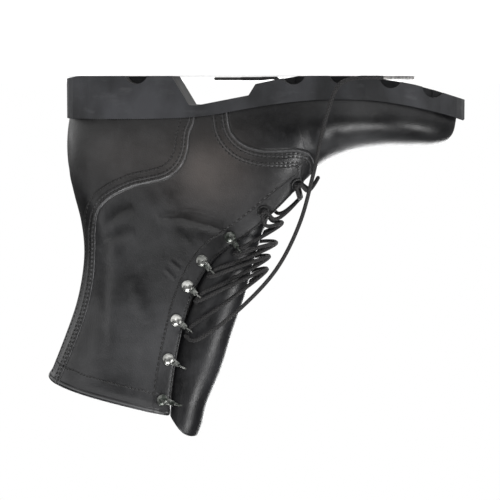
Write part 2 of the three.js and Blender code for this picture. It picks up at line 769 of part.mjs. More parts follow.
const TONGUE_ACROSS = 10;
function tongueSolid() {
  const points = [];
  const triangles = [];
  const rows = tongueTop * 2;
  for (let i = 0; i <= rows; i += 1) {
    for (let j = 0; j <= TONGUE_ACROSS; j += 1) {
      points.push(tonguePoint(i / 2, (2 * j) / TONGUE_ACROSS - 1));
    }
  }
  const at = (i, j) => i * (TONGUE_ACROSS + 1) + j;
  for (let i = 0; i < rows; i += 1) {
    for (let j = 0; j < TONGUE_ACROSS; j += 1) {
      triangles.push([at(i, j), at(i, j + 1), at(i + 1, j + 1)]);
      triangles.push([at(i, j), at(i + 1, j + 1), at(i + 1, j)]);
    }
  }
  const normals = points.map(() => new THREE.Vector3());
  for (const [a, b, c] of triangles) {
    const cross = new THREE.Vector3()
      .subVectors(points[b], points[a])
      .cross(new THREE.Vector3().subVectors(points[c], points[a]));
    for (const v of [a, b, c]) normals[v].add(cross);
  }
  for (const normal of normals) normal.normalize();
  return skin({ points, triangles, normals }, -tongueThickness, 0);
}

// Laces

const lacedRows = [...eyeletRows, ...ringRows.slice(0, 4)]; // the two top rings stay empty
// Where each pair of crossings meets in front of the tongue: the tongue's section and the slack ahead of it.
const crossings = [
  { s: 1.6, slack: 9 },
  { s: 2.9, slack: 12 },
  { s: 4.6, slack: 12 },
  { s: 6, slack: 13 },
  { s: 7, slack: 14 },
  { s: 8.1, slack: 9 },
];
const fromTongue = laceDiameter / 2 + 3; // nearest that a crossing comes to the tongue's face
const LACE_SIDES = 6;

// A closed tube through the points, with the ends capped.
function tube(points, radius) {
  const curve = new THREE.CatmullRomCurve3(points, false, "centripetal");
  const path = curve.getPoints((points.length - 1) * 2);
  const last = path.length - 1;
  const positions = [];
  const faces = [];
  let across = new THREE.Vector3(0.3, 0.2, 1);
  path.forEach((point, i) => {
    const tangent = path[Math.min(i + 1, last)].clone().sub(path[Math.max(i - 1, 0)]).normalize();
    across.addScaledVector(tangent, -across.dot(tangent)).normalize();
    const up = new THREE.Vector3().crossVectors(tangent, across);
    for (let k = 0; k < LACE_SIDES; k += 1) {
      const angle = (2 * Math.PI * k) / LACE_SIDES;
      const edge = point
        .clone()
        .addScaledVector(across, radius * Math.cos(angle))
        .addScaledVector(up, radius * Math.sin(angle));
      positions.push(edge.x, edge.y, edge.z);
      const next = (k + 1) % LACE_SIDES;
      const [a, b] = [i * LACE_SIDES + k, i * LACE_SIDES + next];
      if (i < last) faces.push(a, b, b + LACE_SIDES, a, b + LACE_SIDES, a + LACE_SIDES);
      if (i === 0 && k > 0 && k < LACE_SIDES - 1) faces.push(0, next, k);
      if (i === last && k > 0 && k < LACE_SIDES - 1) faces.push(last * LACE_SIDES, a, b);
    }
  });
  return solidFrom(positions, faces);
}

// Where the lace passes station k on one side: over an eyelet, or through a ring.
function station(k, side) {
  const frame = facingFrame(lacedRows[k], side, edgeToRivet);
  const ring = k >= eyeletRows.length;
  const out = ring ? edgeToRivet + ringRadius + ringWire + 0.4 : 0;
  const lift = facingOuter + clearance + (ring ? ringRadius * 0.45 : 0.9 + 3 * clearance + laceDiameter / 2);
  const point = frame.point
    .clone()
    .addScaledVector(frame.inward, out)
    .addScaledVector(frame.normal, lift);
  return { point, upward: frame.upward, inward: frame.inward, normal: frame.normal, ring };
}

// The straight run of the lace at a station, between two distances along the facing.
function runAt(k, side, from, to) {
  const { point, upward } = station(k, side);
  const middle = point.clone().addScaledVector(upward, (from + to) / 2);
  return [point.clone().addScaledVector(upward, from), middle, point.clone().addScaledVector(upward, to)];
}

// A point ahead of the tongue's face.
function aheadOfTongue(s, v, distance) {
  const step = 0.02;
  const across = tonguePoint(s, v + step).sub(tonguePoint(s, v - step));
  const up = tonguePoint(Math.min(s + step, tongueTop), v).sub(tonguePoint(s - step, v));
  return tonguePoint(s, v).addScaledVector(across.cross(up).normalize(), distance);
}

// Where a crossing starts or ends. From an eyelet it goes over the facing's edge. From a ring it goes beside
// the tongue, and on its way up it first passes round the ring on the outside.
function crossingEnd(k, side, middle, direction) {
  const { point, upward, inward, normal, ring } = station(k, side);
  const from = (along, away, up) => {
    return point
      .clone()
      .addScaledVector(inward, along)
      .addScaledVector(normal, away)
      .addScaledVector(upward, up);
  };
  if (!ring) return [from(8, 2.2, direction * 4)];
  const beside = point.clone().lerp(middle, 0.42);
  if (direction < 0) {
    beside.y = point.y - 2 * side;
    return [beside];
  }
  beside.y = point.y + 4 * side;
  return [from(-0.5, 4, 4.6), from(1, 6.8, 1.6), beside];
}

const crossingMiddle = ({ s, slack }) => aheadOfTongue(s, 0, fromTongue + slack);

// One strand climbs from side to side, starting at the bottom eyelet of the given side.
function strandPoints(side) {
  const points = [];
  for (let k = 0; k < lacedRows.length; k += 1) {
    const here = k % 2 === 0 ? side : -side;
    const run = k < eyeletRows.length ? 1.6 : 3.4;
    points.push(...runAt(k, here, -run, run));
    if (k === lacedRows.length - 1) break;
    const middle = crossingMiddle(crossings[k + 1]);
    points.push(...crossingEnd(k, here, middle, 1), middle, ...crossingEnd(k + 1, -here, middle, -1));
  }
  return points;
}

function lacesSolid() {
  const middle = crossingMiddle(crossings[0]);
  const ends = [...crossingEnd(0, -1, middle, -1), middle, ...crossingEnd(0, 1, middle, -1)];
  const bottom = [station(0, -1).point, ...ends];
  const strands = [tube([...bottom, ...strandPoints(1)], laceDiameter / 2)];
  strands.push(tube(strandPoints(-1), laceDiameter / 2));
  return strands[0].add(strands[1]);
}

// Where the two loose ends hang and lie, in millimetres, after they leave the fourth ring.
const looseEnds = {
  lateral: [
    { x: 100, y: 41, z: 199 },
    { x: 113, y: 44, z: 192 },
    { x: 140, y: 42, z: 170 },
    { x: 163, y: 40, z: 144 },
    { x: 180, y: 46, z: 110 },
    { x: 191, y: 56, z: 70 },
    { x: 200, y: 65, z: 30 },
    { x: 210, y: 71, z: 6 },
    { x: 224, y: 75, z: 1.6 },
    { x: 242, y: 74, z: 1.6 },
  ],
  medial: [
    { x: 99, y: -42, z: 198 },
    { x: 112, y: -48, z: 184 },
    { x: 130, y: -50, z: 150 },
    { x: 147, y: -56, z: 100 },
    { x: 157, y: -65, z: 50 },
    { x: 162, y: -72, z: 12 },
    { x: 158, y: -80, z: 1.6 },
    { x: 144, y: -87, z: 1.6 },
    { x: 128, y: -90, z: 1.6 },
  ],
};

function looseEnd(place) {
  const side = place === "lateral" ? 1 : -1;
  const { point, upward } = station(lacedRows.length - 1, side);
  const start = point.clone().addScaledVector(upward, 5.2);
  const points = looseEnds[place].map(({ x, y, z }) => new THREE.Vector3(x, y, z));
  const [before, end] = points.slice(-2);
  const ahead = end.clone().sub(before).normalize();
  const tip = [clearance, agletLength / 2, agletLength].map((d) => end.clone().addScaledVector(ahead, d));
  return {
    cord: tube([start, ...points], laceDiameter / 2),
    aglet: tube(tip, agletRadius),
  };
}

// The assembly

const finish = {
  rubber: { color: 0x1c1d1f, roughness: 0.75, metalness: 0 },
  leather: { color: 0x191a1c, roughness: 0.5, metalness: 0 },
  board: { color: 0x3a332b, roughness: 0.9, metalness: 0 },
  metal: { color: 0xa8a8a4, roughness: 0.35, metalness: 1 },
  blackMetal: { color: 0x1a1a1a, roughness: 0.4, metalness: 0.6 },
  lace: { color: 0x0d0d0e, roughness: 0.85, metalness: 0 },
};

const boot = new THREE.Group();
function place(name, solid, look) {
  const mesh = new THREE.Mesh(geometryOf(solid), new THREE.MeshStandardMaterial(look));
  mesh.name = name;
  boot.add(mesh);
}

place("outsole", outsoleSolid(), finish.rubber);
place("insole", insoleSolid(), finish.board);
place("upper", upperSolid(), finish.leather);
place("tongue", tongueSolid(), finish.leather);
place("lace_crossings", lacesSolid(), finish.lace);
for (const side of ["lateral", "medial"]) {
  const { cord, aglet } = looseEnd(side);
  place(`lace_end_${side}`, cord, finish.lace);
  place(`lace_tip_${side}`, aglet, finish.lace);
}
for (const { name, solid } of hardware) {
  place(name, solid, name.startsWith("eyelet") ? finish.blackMetal : finish.metal);
}

// The origin is on the floor, under the middle of the heel's tread.
boot.position.set(-heelRestX * soleLength, 0, 0);

export default boot;
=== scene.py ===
"""Left combat boot, dressed for one picture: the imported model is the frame, and these pieces lie on it.

The shapes are worked out in millimetres, with x = 0 at the back of the heel, +X to the toe, +Y to the outer
side and z = 0 on the floor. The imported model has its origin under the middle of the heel, 48.8 mm further on.
"""

import math

import bpy
import numpy as np
from mathutils import Matrix, Vector
from mathutils.bvhtree import BVHTree


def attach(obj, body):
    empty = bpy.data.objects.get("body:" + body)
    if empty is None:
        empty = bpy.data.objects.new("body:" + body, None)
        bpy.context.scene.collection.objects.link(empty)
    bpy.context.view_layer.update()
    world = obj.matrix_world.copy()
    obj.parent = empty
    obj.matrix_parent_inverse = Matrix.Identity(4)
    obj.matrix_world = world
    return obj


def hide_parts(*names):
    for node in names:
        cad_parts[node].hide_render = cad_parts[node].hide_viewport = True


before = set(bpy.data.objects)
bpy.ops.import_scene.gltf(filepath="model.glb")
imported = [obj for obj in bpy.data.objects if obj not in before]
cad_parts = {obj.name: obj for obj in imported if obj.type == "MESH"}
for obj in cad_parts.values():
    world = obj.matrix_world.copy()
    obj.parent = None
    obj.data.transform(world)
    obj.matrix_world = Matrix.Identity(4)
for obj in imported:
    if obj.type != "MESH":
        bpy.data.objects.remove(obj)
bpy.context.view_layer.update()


ORIGIN_X = 48.8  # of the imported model, in the build's millimetres

# Sizes in millimetres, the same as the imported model's
SOLE_LENGTH = 305.0
BALL_WIDTH = 108.0
COLLAR_HEIGHT = 258.0
HEEL_HEIGHT = 32.0
WALL = 2.2
QUARTER_STEP = 1.5
COUNTER_STEP = 2.7
BINDING_STEP = 1.0
CLEARANCE = 0.3
LIP_HEIGHT = 5.0
FEATHER_INSET = 5.6
TONGUE_THICKNESS = 2.4
EYELET_HOLE = 2.6
EDGE_TO_RIVET = 7.5
RING_RADIUS = 3.3
RING_WIRE = 0.8
LACE_DIAMETER = 3.0
TIP_LENGTH = 22.0
TIP_RADIUS = 1.3
ABOVE_RING = 5.2  # where a loose end leaves the highest laced ring
TIP_BITE = 1.6  # the tip starts this far inside the cord's end, so that no slit shows
NOWHERE = 99.0  # stands for a distance where there is no such edge


def to_row(points):
    """Points in the build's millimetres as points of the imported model, in metres."""
    moved = np.asarray(points, dtype=float) - np.array([ORIGIN_X, 0.0, 0.0])
    return moved / 1000.0


def material(name):
    made = bpy.data.materials.new(name)
    made.use_nodes = True
    made.node_tree.nodes.clear()
    return made


def link(thing):
    bpy.context.scene.collection.objects.link(thing)
    return thing


# Curves and tables


def table(columns, rows):
    """A table with named columns, as one array a column."""
    values = np.array(rows, dtype=float)
    return {name: values[:, k] for k, name in enumerate(columns)}


def row_value(values, t):
    """Smooth curve through a column, by row number."""
    last = len(values) - 1
    i = np.clip(np.floor(t).astype(int), 0, last - 1)
    f = t - i
    a = values[np.clip(i - 1, 0, last)]
    b = values[i]
    c = values[i + 1]
    d = values[np.clip(i + 2, 0, last)]
    return b + 0.5 * f * (c - a + f * (2 * a - 5 * b + 4 * c - d + f * (3 * (b - c) + d - a)))


def place_value(places, values, place):
    """Smooth curve through values at uneven places."""
    last = len(places) - 1
    i = np.clip(np.searchsorted(places[1:], place, side="left"), 0, last - 1)
    low = np.clip(np.arange(last + 1) - 1, 0, last)
    high = np.clip(np.arange(last + 1) + 1, 0, last)
    slopes = (values[high] - values[low]) / (places[high] - places[low])
    span = places[i + 1] - places[i]
    f = np.clip((place - places[i]) / span, 0, 1)
    start = values[i] * (2 * f**3 - 3 * f**2 + 1) + slopes[i] * span * (f**3 - 2 * f**2 + f)
    return start + values[i + 1] * (3 * f**2 - 2 * f**3) + slopes[i + 1] * span * (f**3 - f**2)


def smooth(f):
    """From 0 to 1 with a soft start and end."""
    k = np.clip(f, 0, 1)
    return k * k * (3 - 2 * k)


def unit(vectors):
    length = np.linalg.norm(vectors, axis=-1, keepdims=True)
    return vectors / np.maximum(length, 1e-9)


def run_lengths(points):
    """Distance along a line of points, or down each column of a grid of them, from the first."""
    steps = np.linalg.norm(np.diff(points, axis=0), axis=-1)
    return np.concatenate([np.zeros_like(steps[:1]), np.cumsum(steps, axis=0)])


def curve_points(points, per_span):
    """Smooth curve through points, as more points, spaced by their distances like a real cord."""
    points = np.asarray(points, dtype=float)
    ahead = np.vstack([2 * points[0] - points[1], points, 2 * points[-1] - points[-2]])
    made = []
    for k in range(len(points) - 1):
        p = ahead[k : k + 4]
        knots = np.zeros(4)
        for m in range(3):
            knots[m + 1] = knots[m] + max(np.linalg.norm(p[m + 1] - p[m]) ** 0.5, 1e-4)
        for f in np.linspace(0, 1, per_span, endpoint=False):
            u = knots[1] + f * (knots[2] - knots[1])
            a = [
                ((knots[m + 1] - u) * p[m] + (u - knots[m]) * p[m + 1]) / (knots[m + 1] - knots[m])
                for m in range(3)
            ]
            b = [
                ((knots[m + 2] - u) * a[m] + (u - knots[m]) * a[m + 1]) / (knots[m + 2] - knots[m])
                for m in range(2)
            ]
            made.append(((knots[2] - u) * b[0] + (u - knots[1]) * b[1]) / (knots[2] - knots[1]))
    made.append(points[-1])
    return np.array(made)


# Outline and side view of the sole

OUTLINE = table(
    ["at", "lateral", "medial"],
    [
        [0.0, 0.338, 0.333],
        [0.15, 0.343, 0.333],
        [0.3, 0.347, 0.306],
        [0.4, 0.363, 0.287],
        [0.5, 0.407, 0.315],
        [0.6, 0.472, 0.394],
        [0.66, 0.495, 0.449],
        [0.72, 0.5, 0.49],
        [0.8, 0.49, 0.505],
        [0.9, 0.463, 0.495],
        [1.0, 0.426, 0.463],
    ],
)
# The toe's point lies to the inner side: by how much, and from where on.
TOE_SHIFT = 9.0
TOE_SHIFT_FROM = 0.72
# Share of the length that each end's rounding takes, and its power
HEEL_ROUNDING = (0.125, 2.1)
TOE_ROUNDING = (0.21, 2.2)


def rounded(distance, reach, power):
    """From 0 at an end to 1 at a distance of reach, as a rounded corner."""
    f = np.clip(1 - distance / reach, 0, 1)
    return (1 - f**power) ** (1 / power)


def side_y(x, side, inset):
    """The outline's y at x on one side, for an outline inset all round."""
    share = (x - inset) / (SOLE_LENGTH - 2 * inset)
    widths = OUTLINE["lateral"] if side > 0 else OUTLINE["medial"]
    half = place_value(OUTLINE["at"], widths, share) * BALL_WIDTH - inset
    ends = rounded(share, *HEEL_ROUNDING) * rounded(1 - share, *TOE_ROUNDING)
    middle = -TOE_SHIFT * smooth((share - TOE_SHIFT_FROM) / (1 - TOE_SHIFT_FROM))
    return middle + side * half * ends


TOP_EDGE = table(
    ["at", "height"],
    [
        [0.0, 1.0],
        [0.2, 1.0],
        [0.31, 0.97],
        [0.38, 0.9],
        [0.46, 0.76],
        [0.54, 0.64],
        [0.62, 0.56],
        [0.7, 0.54],
        [0.78, 0.58],
        [0.86, 0.7],
        [0.94, 0.88],
        [1.0, 1.05],
    ],
)


def top_edge_z(x):
    return place_value(TOP_EDGE["at"], TOP_EDGE["height"], x / SOLE_LENGTH) * HEEL_HEIGHT


def feather_z(x):
    return top_edge_z(x) - LIP_HEIGHT


# Sections of the upper, as in the model

FOOT = table(
    ["ridge_x", "ridge_z", "seat", "follow", "lateral", "medial", "widest", "front", "back"],
    [
        [0.975, 0.155, 0.0, 1, 0, 0, 0.7, 2.6, 2],
        [0.968, 0.174, 0.007, 1, 0.003, 0.003, 0.7, 2.6, 2],
        [0.951, 0.193, 0.029, 1, 0.01, 0.01, 0.7, 2.6, 2],
        [0.918, 0.204, 0.066, 1, 0.018, 0.018, 0.7, 2.6, 2],
        [0.859, 0.206, 0.128, 1, 0.023, 0.023, 0.68, 2.5, 2],
        [0.79, 0.208, 0.202, 1, 0.024, 0.024, 0.66, 2.3, 2],
        [0.72, 0.22, 0.281, 1, 0.026, 0.024, 0.66, 2.1, 2],
        [0.664, 0.244, 0.355, 1, 0.022, 0.02, 0.68, 1.95, 2],
        [0.623, 0.275, 0.434, 1, 0.014, 0.014, 0.7, 1.85, 2],
        [0.58, 0.325, 0.515, 1, 0.01, 0.014, 0.7, 1.8, 2],
        [0.536, 0.381, 0.604, 1, 0.01, 0.02, 0.68, 1.8, 2],
        [0.488, 0.434, 0.692, 0.8, 0.073, 0.075, 0.66, 1.8, 2],
        [0.44, 0.48, 0.781, 0.5, 0.167, 0.155, 0.62, 1.8, 2],
        [0.403, 0.511, 0.866, 0.25, 0.246, 0.235, 0.6, 1.85, 2],
        [0.38, 0.533, 0.934, 0, 0.319, 0.31, 0.57, 1.9, 2.1],
        [0.366, 0.552, 0.981, 0, 0.32, 0.312, 0.56, 1.95, 2.2],
        [0.354, 0.571, 1.0, 0, 0.322, 0.315, 0.55, 2, 2.2],
    ],
)
# Above the heel each section ends on the back seam, at back_x and back_z.
SHAFT = table(
    ["ridge_x", "ridge_z", "back_x", "back_z", "lateral", "medial", "widest", "front", "back"],
    [
        [0.342, 0.594, 0.008, 0.174, 0.326, 0.32, 0.54, 2, 2.2],
        [0.33, 0.622, 0.009, 0.256, 0.331, 0.326, 0.53, 2, 2.2],
        [0.318, 0.656, 0.024, 0.341, 0.335, 0.331, 0.52, 2, 2.1],
        [0.306, 0.696, 0.042, 0.426, 0.338, 0.334, 0.51, 2, 2.1],
        [0.296, 0.742, 0.05, 0.507, 0.342, 0.338, 0.5, 2, 2.1],
        [0.286, 0.796, 0.045, 0.592, 0.348, 0.344, 0.5, 2, 2.1],
        [0.276, 0.857, 0.028, 0.684, 0.355, 0.352, 0.5, 2, 2.1],
        [0.268, 0.924, -0.004, 0.79, 0.363, 0.36, 0.5, 2, 2.1],
        [0.26, 1.0, -0.044, 0.908, 0.372, 0.37, 0.5, 2, 2.1],
    ],
)
THROAT_ROW = 8
HEEL_ROW = 16
COLLAR_ROW = 25
TOE_END = SOLE_LENGTH - FEATHER_INSET
FEATHER_LENGTH = SOLE_LENGTH - 2 * FEATHER_INSET


def joined(name):
    return np.concatenate([FOOT[name], SHAFT[name]])


foot_x = TOE_END - FOOT["seat"] * FEATHER_LENGTH
SHARED = ["ridge_x", "ridge_z", "lateral", "medial", "widest", "front", "back"]
SECTIONS = {name: joined(name) for name in SHARED}
SECTIONS["seat"] = np.concatenate([FOOT["seat"], np.ones(9)])
SECTIONS["follow"] = np.concatenate([FOOT["follow"], np.zeros(9)])
SECTIONS["foot_x"] = np.concatenate([foot_x, SHAFT["back_x"] * SOLE_LENGTH])
SECTIONS["foot_z"] = np.concatenate([feather_z(foot_x), SHAFT["back_z"] * COLLAR_HEIGHT])

THROAT = table(
    ["at", "half"],
    [[8, 0.09], [9, 0.12], [10, 0.16], [12, 0.215], [14, 0.245], [17, 0.265], [25, 0.275]],
)
THROAT_ROUNDING = 0.7


def gap_at(t):
    """Half the throat's width at a section."""
    f = np.clip((t - THROAT_ROW) / THROAT_ROUNDING, 0, 1)
    half = place_value(THROAT["at"], THROAT["half"], t) * BALL_WIDTH
    return half * np.sqrt(1 - (1 - f) ** 2)


def upper_point(t, turn, side):
    """A point of the upper's outer surface: t is the section, turn goes from 0 at the ridge or the facing's
    edge to 1 at the sole or the back seam, and side is 1 outer or -1 inner."""
    t = np.asarray(t, dtype=float)
    turn = np.asarray(turn, dtype=float)
    value = {name: row_value(column, t) for name, column in SECTIONS.items()}
    ridge_x = value["ridge_x"] * SOLE_LENGTH
    ridge_z = value["ridge_z"] * COLLAR_HEIGHT
    on_feather = t < HEEL_ROW
    seat_x = TOE_END - np.minimum(value["seat"], 1) * FEATHER_LENGTH
    end_x = np.where(on_feather, seat_x, value["foot_x"])
    end_z = np.where(on_feather, feather_z(seat_x), value["foot_z"])
    near = side_y(seat_x, side, FEATHER_INSET)
    far = side_y(seat_x, -side, FEATHER_INSET)
    feather_y = np.where(on_feather, near, 0)
    middle = np.where(on_feather, (near + far) / 2, 0)
    lift = value["follow"]
    added = value["lateral" if side > 0 else "medial"] * BALL_WIDTH
    foot = np.abs(feather_y - middle * lift)
    half = lift * foot + added
    gap = gap_at(t)
    angle = turn * math.pi
    widest = value["widest"]
    power = 2 / value["front"]
    cosine = np.maximum(np.cos(angle), 0)
    sine = np.maximum(np.sin(np.minimum(angle, math.pi / 2)), 0)
    along_front = widest * (1 - cosine**power)
    out_front = gap + (half - gap) * sine**power
    power = 2 / value["back"]
    later = np.maximum(angle - math.pi / 2, 0)
    along_back = widest + (1 - widest) * np.sin(later) ** power
    out_back = foot + (half - foot) * np.maximum(np.cos(later), 0) ** power
    in_front = turn <= 0.5
    along = np.where(in_front, along_front, along_back)
    out = np.where(in_front, out_front, out_back)
    x = ridge_x + (end_x - ridge_x) * along
    y = middle * lift + side * out
    z = ridge_z + (end_z - ridge_z) * along
    return np.stack(np.broadcast_arrays(x, y, z), axis=-1)


# Seams, seen from the side, in millimetres

QUARTER_EDGE = np.array(
    [
        [0.41, 0.0], [0.412, 0.115], [0.42, 0.16], [0.446, 0.195], [0.488, 0.214], [0.54, 0.216],
        [0.585, 0.214], [0.612, 0.226], [0.624, 0.25], [0.622, 0.286],
    ]
)
COUNTER_EDGE = np.array(
    [
        [0.332, 0.0], [0.33, 0.13], [0.319, 0.165], [0.312, 0.223], [0.295, 0.265], [0.267, 0.294],
        [0.222, 0.31], [0.184, 0.32], [0.149, 0.337], [0.114, 0.363], [0.092, 0.396], [0.083, 0.443],
        [0.08, 0.514], [0.074, 0.6], [0.058, 0.69], [0.027, 0.79], [-0.012, 0.9], [-0.025, 0.96],
    ]
)
SHARES = np.array([SOLE_LENGTH, COLLAR_HEIGHT])


def patches(x, z, rows):
    """Sum of soft round patches: each row has its middle's x and z, half length, half height and amount."""
    total = np.zeros(np.shape(x))
    for middle_x, middle_z, length, tall, amount in rows:
        total += amount * np.exp(-(((x - middle_x) / length) ** 2) - ((z - middle_z) / tall) ** 2)
    return total


def seam_line(points):
    """A seam's points in millimetres, rounded through its corners."""
    return curve_points(points * SHARES, 8)


def line_distance(x, z, line):
    """Distance from side-view places to a line of points, and how far along the line, from 0 to 1."""
    best = np.full(np.shape(x), 1e9)
    share = np.zeros(np.shape(x))
    start = run_lengths(line)
    for k in range(len(line) - 1):
        (ax, az), (bx, bz) = line[k], line[k + 1]
        span = max((bx - ax) ** 2 + (bz - az) ** 2, 1e-12)
        f = np.clip(((x - ax) * (bx - ax) + (z - az) * (bz - az)) / span, 0, 1)
        distance = np.hypot(x - ax - f * (bx - ax), z - az - f * (bz - az))
        closer = distance < best
        best = np.where(closer, distance, best)
        share = np.where(closer, (start[k] + f * (start[k + 1] - start[k])) / start[-1], share)
    return best, share


def inside(x, z, region):
    """True where a side-view place is inside a closed outline."""
    count = np.zeros(np.shape(x), dtype=int)
    ring = np.vstack([region, region[:1]])
    for k in range(len(ring) - 1):
        (ax, az), (bx, bz) = ring[k], ring[k + 1]
        if az == bz:
            continue
        crosses = (az > z) != (bz > z)
        where = ax + (z - az) * (bx - ax) / (bz - az)
        count += crosses & (x < where)
    return count % 2 == 1


QUARTER_LINE = seam_line(QUARTER_EDGE)
COUNTER_LINE = seam_line(COUNTER_EDGE)
FAR = 500.0
QUARTER_REGION = np.vstack([QUARTER_LINE, [[FAR, 103.2], [FAR, FAR], [-FAR, FAR], [-FAR, 0]]])
COUNTER_REGION = np.vstack([COUNTER_LINE, [[COUNTER_LINE[-1][0], FAR], [-FAR, FAR], [-FAR, 0]]])


def signed(x, z, line, region):
    """Distance from a panel's line, above 0 inside the panel."""
    distance, _ = line_distance(x, z, line)
    return np.where(inside(x, z, region), distance, -distance)


def ramp(distance, width):
    """From 0 to 1 over a width round a distance of 0."""
    return smooth(distance / width + 0.5)


# Creases of the upper: line seen from the side, depth, half width, and which side it is on (0 is both)
CREASES = [
    ([(125, 117), (108, 111), (90, 107), (72, 107)], 0.9, 3.2, 1),
    ([(122, 110), (104, 104), (87, 102)], 0.6, 2.6, 1),
    ([(86, 153), (78, 145)], 0.4, 1.3, 1),
    ([(90, 146), (82, 139)], 0.4, 1.3, 1),
    ([(54, 98), (43, 104), (33, 114)], 0.9, 4.0, 0),
    ([(56, 117), (40, 121), (28, 131)], 0.7, 4.5, 0),
    ([(33, 212), (30, 187), (27, 161), (30, 140)], 0.8, 5.0, 0),
    ([(66, 186), (58, 168), (54, 150)], 0.5, 6.5, 1),
    ([(196, 60), (190, 50), (186, 40)], 0.5, 4.5, 0),
    ([(212, 56), (207, 48), (204, 40)], 0.4, 4.0, 0),
    ([(118, 120), (100, 122), (84, 126)], 1.0, 4.0, -1),
    ([(70, 150), (54, 150), (40, 156)], 0.9, 4.5, -1),
    ([(128, 100), (112, 96), (96, 96)], 0.9, 4.0, -1),
]
# Broad soft dents and bulges: middle x and z, half length, half height and depth
SWELLS = [
    (84, 76, 26, 16, 0.8),
    (120, 62, 18, 14, -0.8),
    (58, 196, 18, 26, -0.9),
    (40, 124, 18, 14, 0.6),
    (44, 48, 26, 12, 0.6),
    (224, 40, 24, 8, 0.4),
    (50, 236, 18, 14, 0.6),
    (146, 66, 14, 10, 0.5),
]


# The low ridges beside a crease: height as a share of its depth, place and width in its half widths
RIDGE_HEIGHT = 0.25
RIDGE_PLACE = 2.0
RIDGE_WIDTH = 1.3
INNER_SWELLS = -0.7  # the inner side swells this much, where the outer side is dented


def crease_height(x, z, side):
    """How far the leather is pushed out, in millimetres: a soft trough with a low ridge on both sides."""
    height = np.zeros(np.shape(x))
    for points, depth, width, where in CREASES:
        if where and where != side:
            continue
        line = curve_points(points, 6)
        distance, share = line_distance(x, z, line)
        fade = np.sqrt(np.clip(4 * share * (1 - share), 0, 1))
        beyond = np.exp(-((distance / width) ** 2))
        ridge = np.exp(-(((distance - RIDGE_PLACE * width) / (RIDGE_WIDTH * width)) ** 2))
        height += depth * fade * (RIDGE_HEIGHT * ridge - beyond)
    return height + patches(x, z, SWELLS) * (1 if side > 0 else INNER_SWELLS)


# Grids of the upper


def even_rows(count):
    """Section numbers from toe to collar, even along the side, with more at the throat and the collar."""
    top = COLLAR_ROW + 0.02
    dense = np.linspace(0, top, 3001)
    line = sum(upper_point(dense, np.full(len(dense), turn), 1) for turn in (0.22, 0.55)) / 2
    steps = np.linalg.norm(np.diff(line, axis=0), axis=1) + 0.002
    length = np.concatenate([[0], np.cumsum(steps)])
    rows = np.interp(np.linspace(0, length[-1], count), length, dense)
    at_throat = THROAT_ROW + np.array([0.0, 0.002, 0.008, 0.02, 0.04, 0.07, 0.11, 0.16, 0.22])
    at_collar = top - np.array([0.004, 0.015, 0.035, 0.06, 0.09, 0.14])
    rows = rows[(np.abs(rows - THROAT_ROW - 0.1) > 0.14) & (rows < top - 0.17)]
    return np.unique(np.concatenate([[0, 0.0006, 0.003, 0.01, 0.03], rows, at_throat, at_collar, [top]]))


RIM = np.array([0.0, 0.12, 0.4, 0.85, 1.5])  # distances from a free edge, in millimetres
SHORT_SECTION = 12  # too short for points at those distances


def turns_for(rows, side, count):
    """For each section, turns at even distances, with some close to the facing's edge."""
    ends = np.linspace(0, 0.05, 60)
    dense = np.concatenate([ends[:-1], np.linspace(0.05, 0.95, 260), np.linspace(0.95, 1, 60)[1:]])
    turns = np.zeros((len(rows), count + len(RIM)))
    for i, t in enumerate(rows):
        length = run_lengths(upper_point(np.full(len(dense), t), dense, side))
        wanted = np.linspace(0, length[-1], count + len(RIM))
        if length[-1] > SHORT_SECTION:
            wanted = np.concatenate([RIM, np.linspace(RIM[-1] + 1.0, length[-1], count)])
        turns[i] = np.interp(wanted, length, dense)
    turns[:, 0] = 0
    turns[:, -1] = 1
    return turns


def grid_normals(points, side):
    """Outward normals at the points of one side's grid."""
    along = np.gradient(points, axis=0)
    across = np.gradient(points, axis=1)
    return unit(np.cross(across, along) * side)


def seam_normals(first, second, rows):
    """Makes the two sides' normals agree where they meet: on the toe line, the ridge and the back seam."""
    first[0, :, 1] = 0
    second[0, :, 1] = 0
    ridge = rows <= THROAT_ROW
    back = rows >= HEEL_ROW
    for where, column in ((ridge, 0), (back, -1)):
        both = unit(first[where, column] + second[where, column])
        first[where, column] = both
        second[where, column] = both
    return unit(first), unit(second)


ROW_COUNT = 400
COLUMN_COUNTS = {1: 165, -1: 100}
ROWS = even_rows(ROW_COUNT)


HEEL_ROUNDS = 220  # of easing


def eased_heel(points, turns):
    """Smooths the grid low on the heel, where the sections turn from the sole to the back seam."""
    rows = ROWS[:, None]
    share = smooth((rows - 12.6) / 1.2) * smooth((18.6 - rows) / 1.2) * smooth((turns - 0.5) / 0.15)
    share = share[1:-1, 1:-1, None]
    eased = points.copy()
    for _ in range(HEEL_ROUNDS):
        around = eased[:-2, 1:-1] + eased[2:, 1:-1] + eased[1:-1, :-2] + eased[1:-1, 2:]
        eased[1:-1, 1:-1] += share * (around / 4 - eased[1:-1, 1:-1])
    return eased


BUILD = {}
for side, columns in COLUMN_COUNTS.items():
    turns = turns_for(ROWS, side, columns)
    points = eased_heel(upper_point(np.broadcast_to(ROWS[:, None], turns.shape), turns, side), turns)
    BUILD[side] = {"turns": turns, "points": points, "normals": grid_normals(points, side)}
seam_normals(BUILD[1]["normals"], BUILD[-1]["normals"], ROWS)


def edge_distances(points):
    """Distance of each grid point from the facing's edge and from the collar's edge."""
    facing = run_lengths(points.swapaxes(0, 1)).T
    facing[ROWS < THROAT_ROW] = NOWHERE
    return facing, run_lengths(points[::-1])[::-1]


def rim_share(distance, radius):
    """From 0 on a free edge to 1 from one radius inwards, as a round edge."""
    f = np.clip(distance / radius, 0, 1)
    return np.sqrt(np.clip(1 - (1 - f) ** 2, 0, 1))


def fade_in(distance, start, width):
    """From 0 at a distance of start to 1 over a width beyond it."""
    return smooth((distance - start) / width)


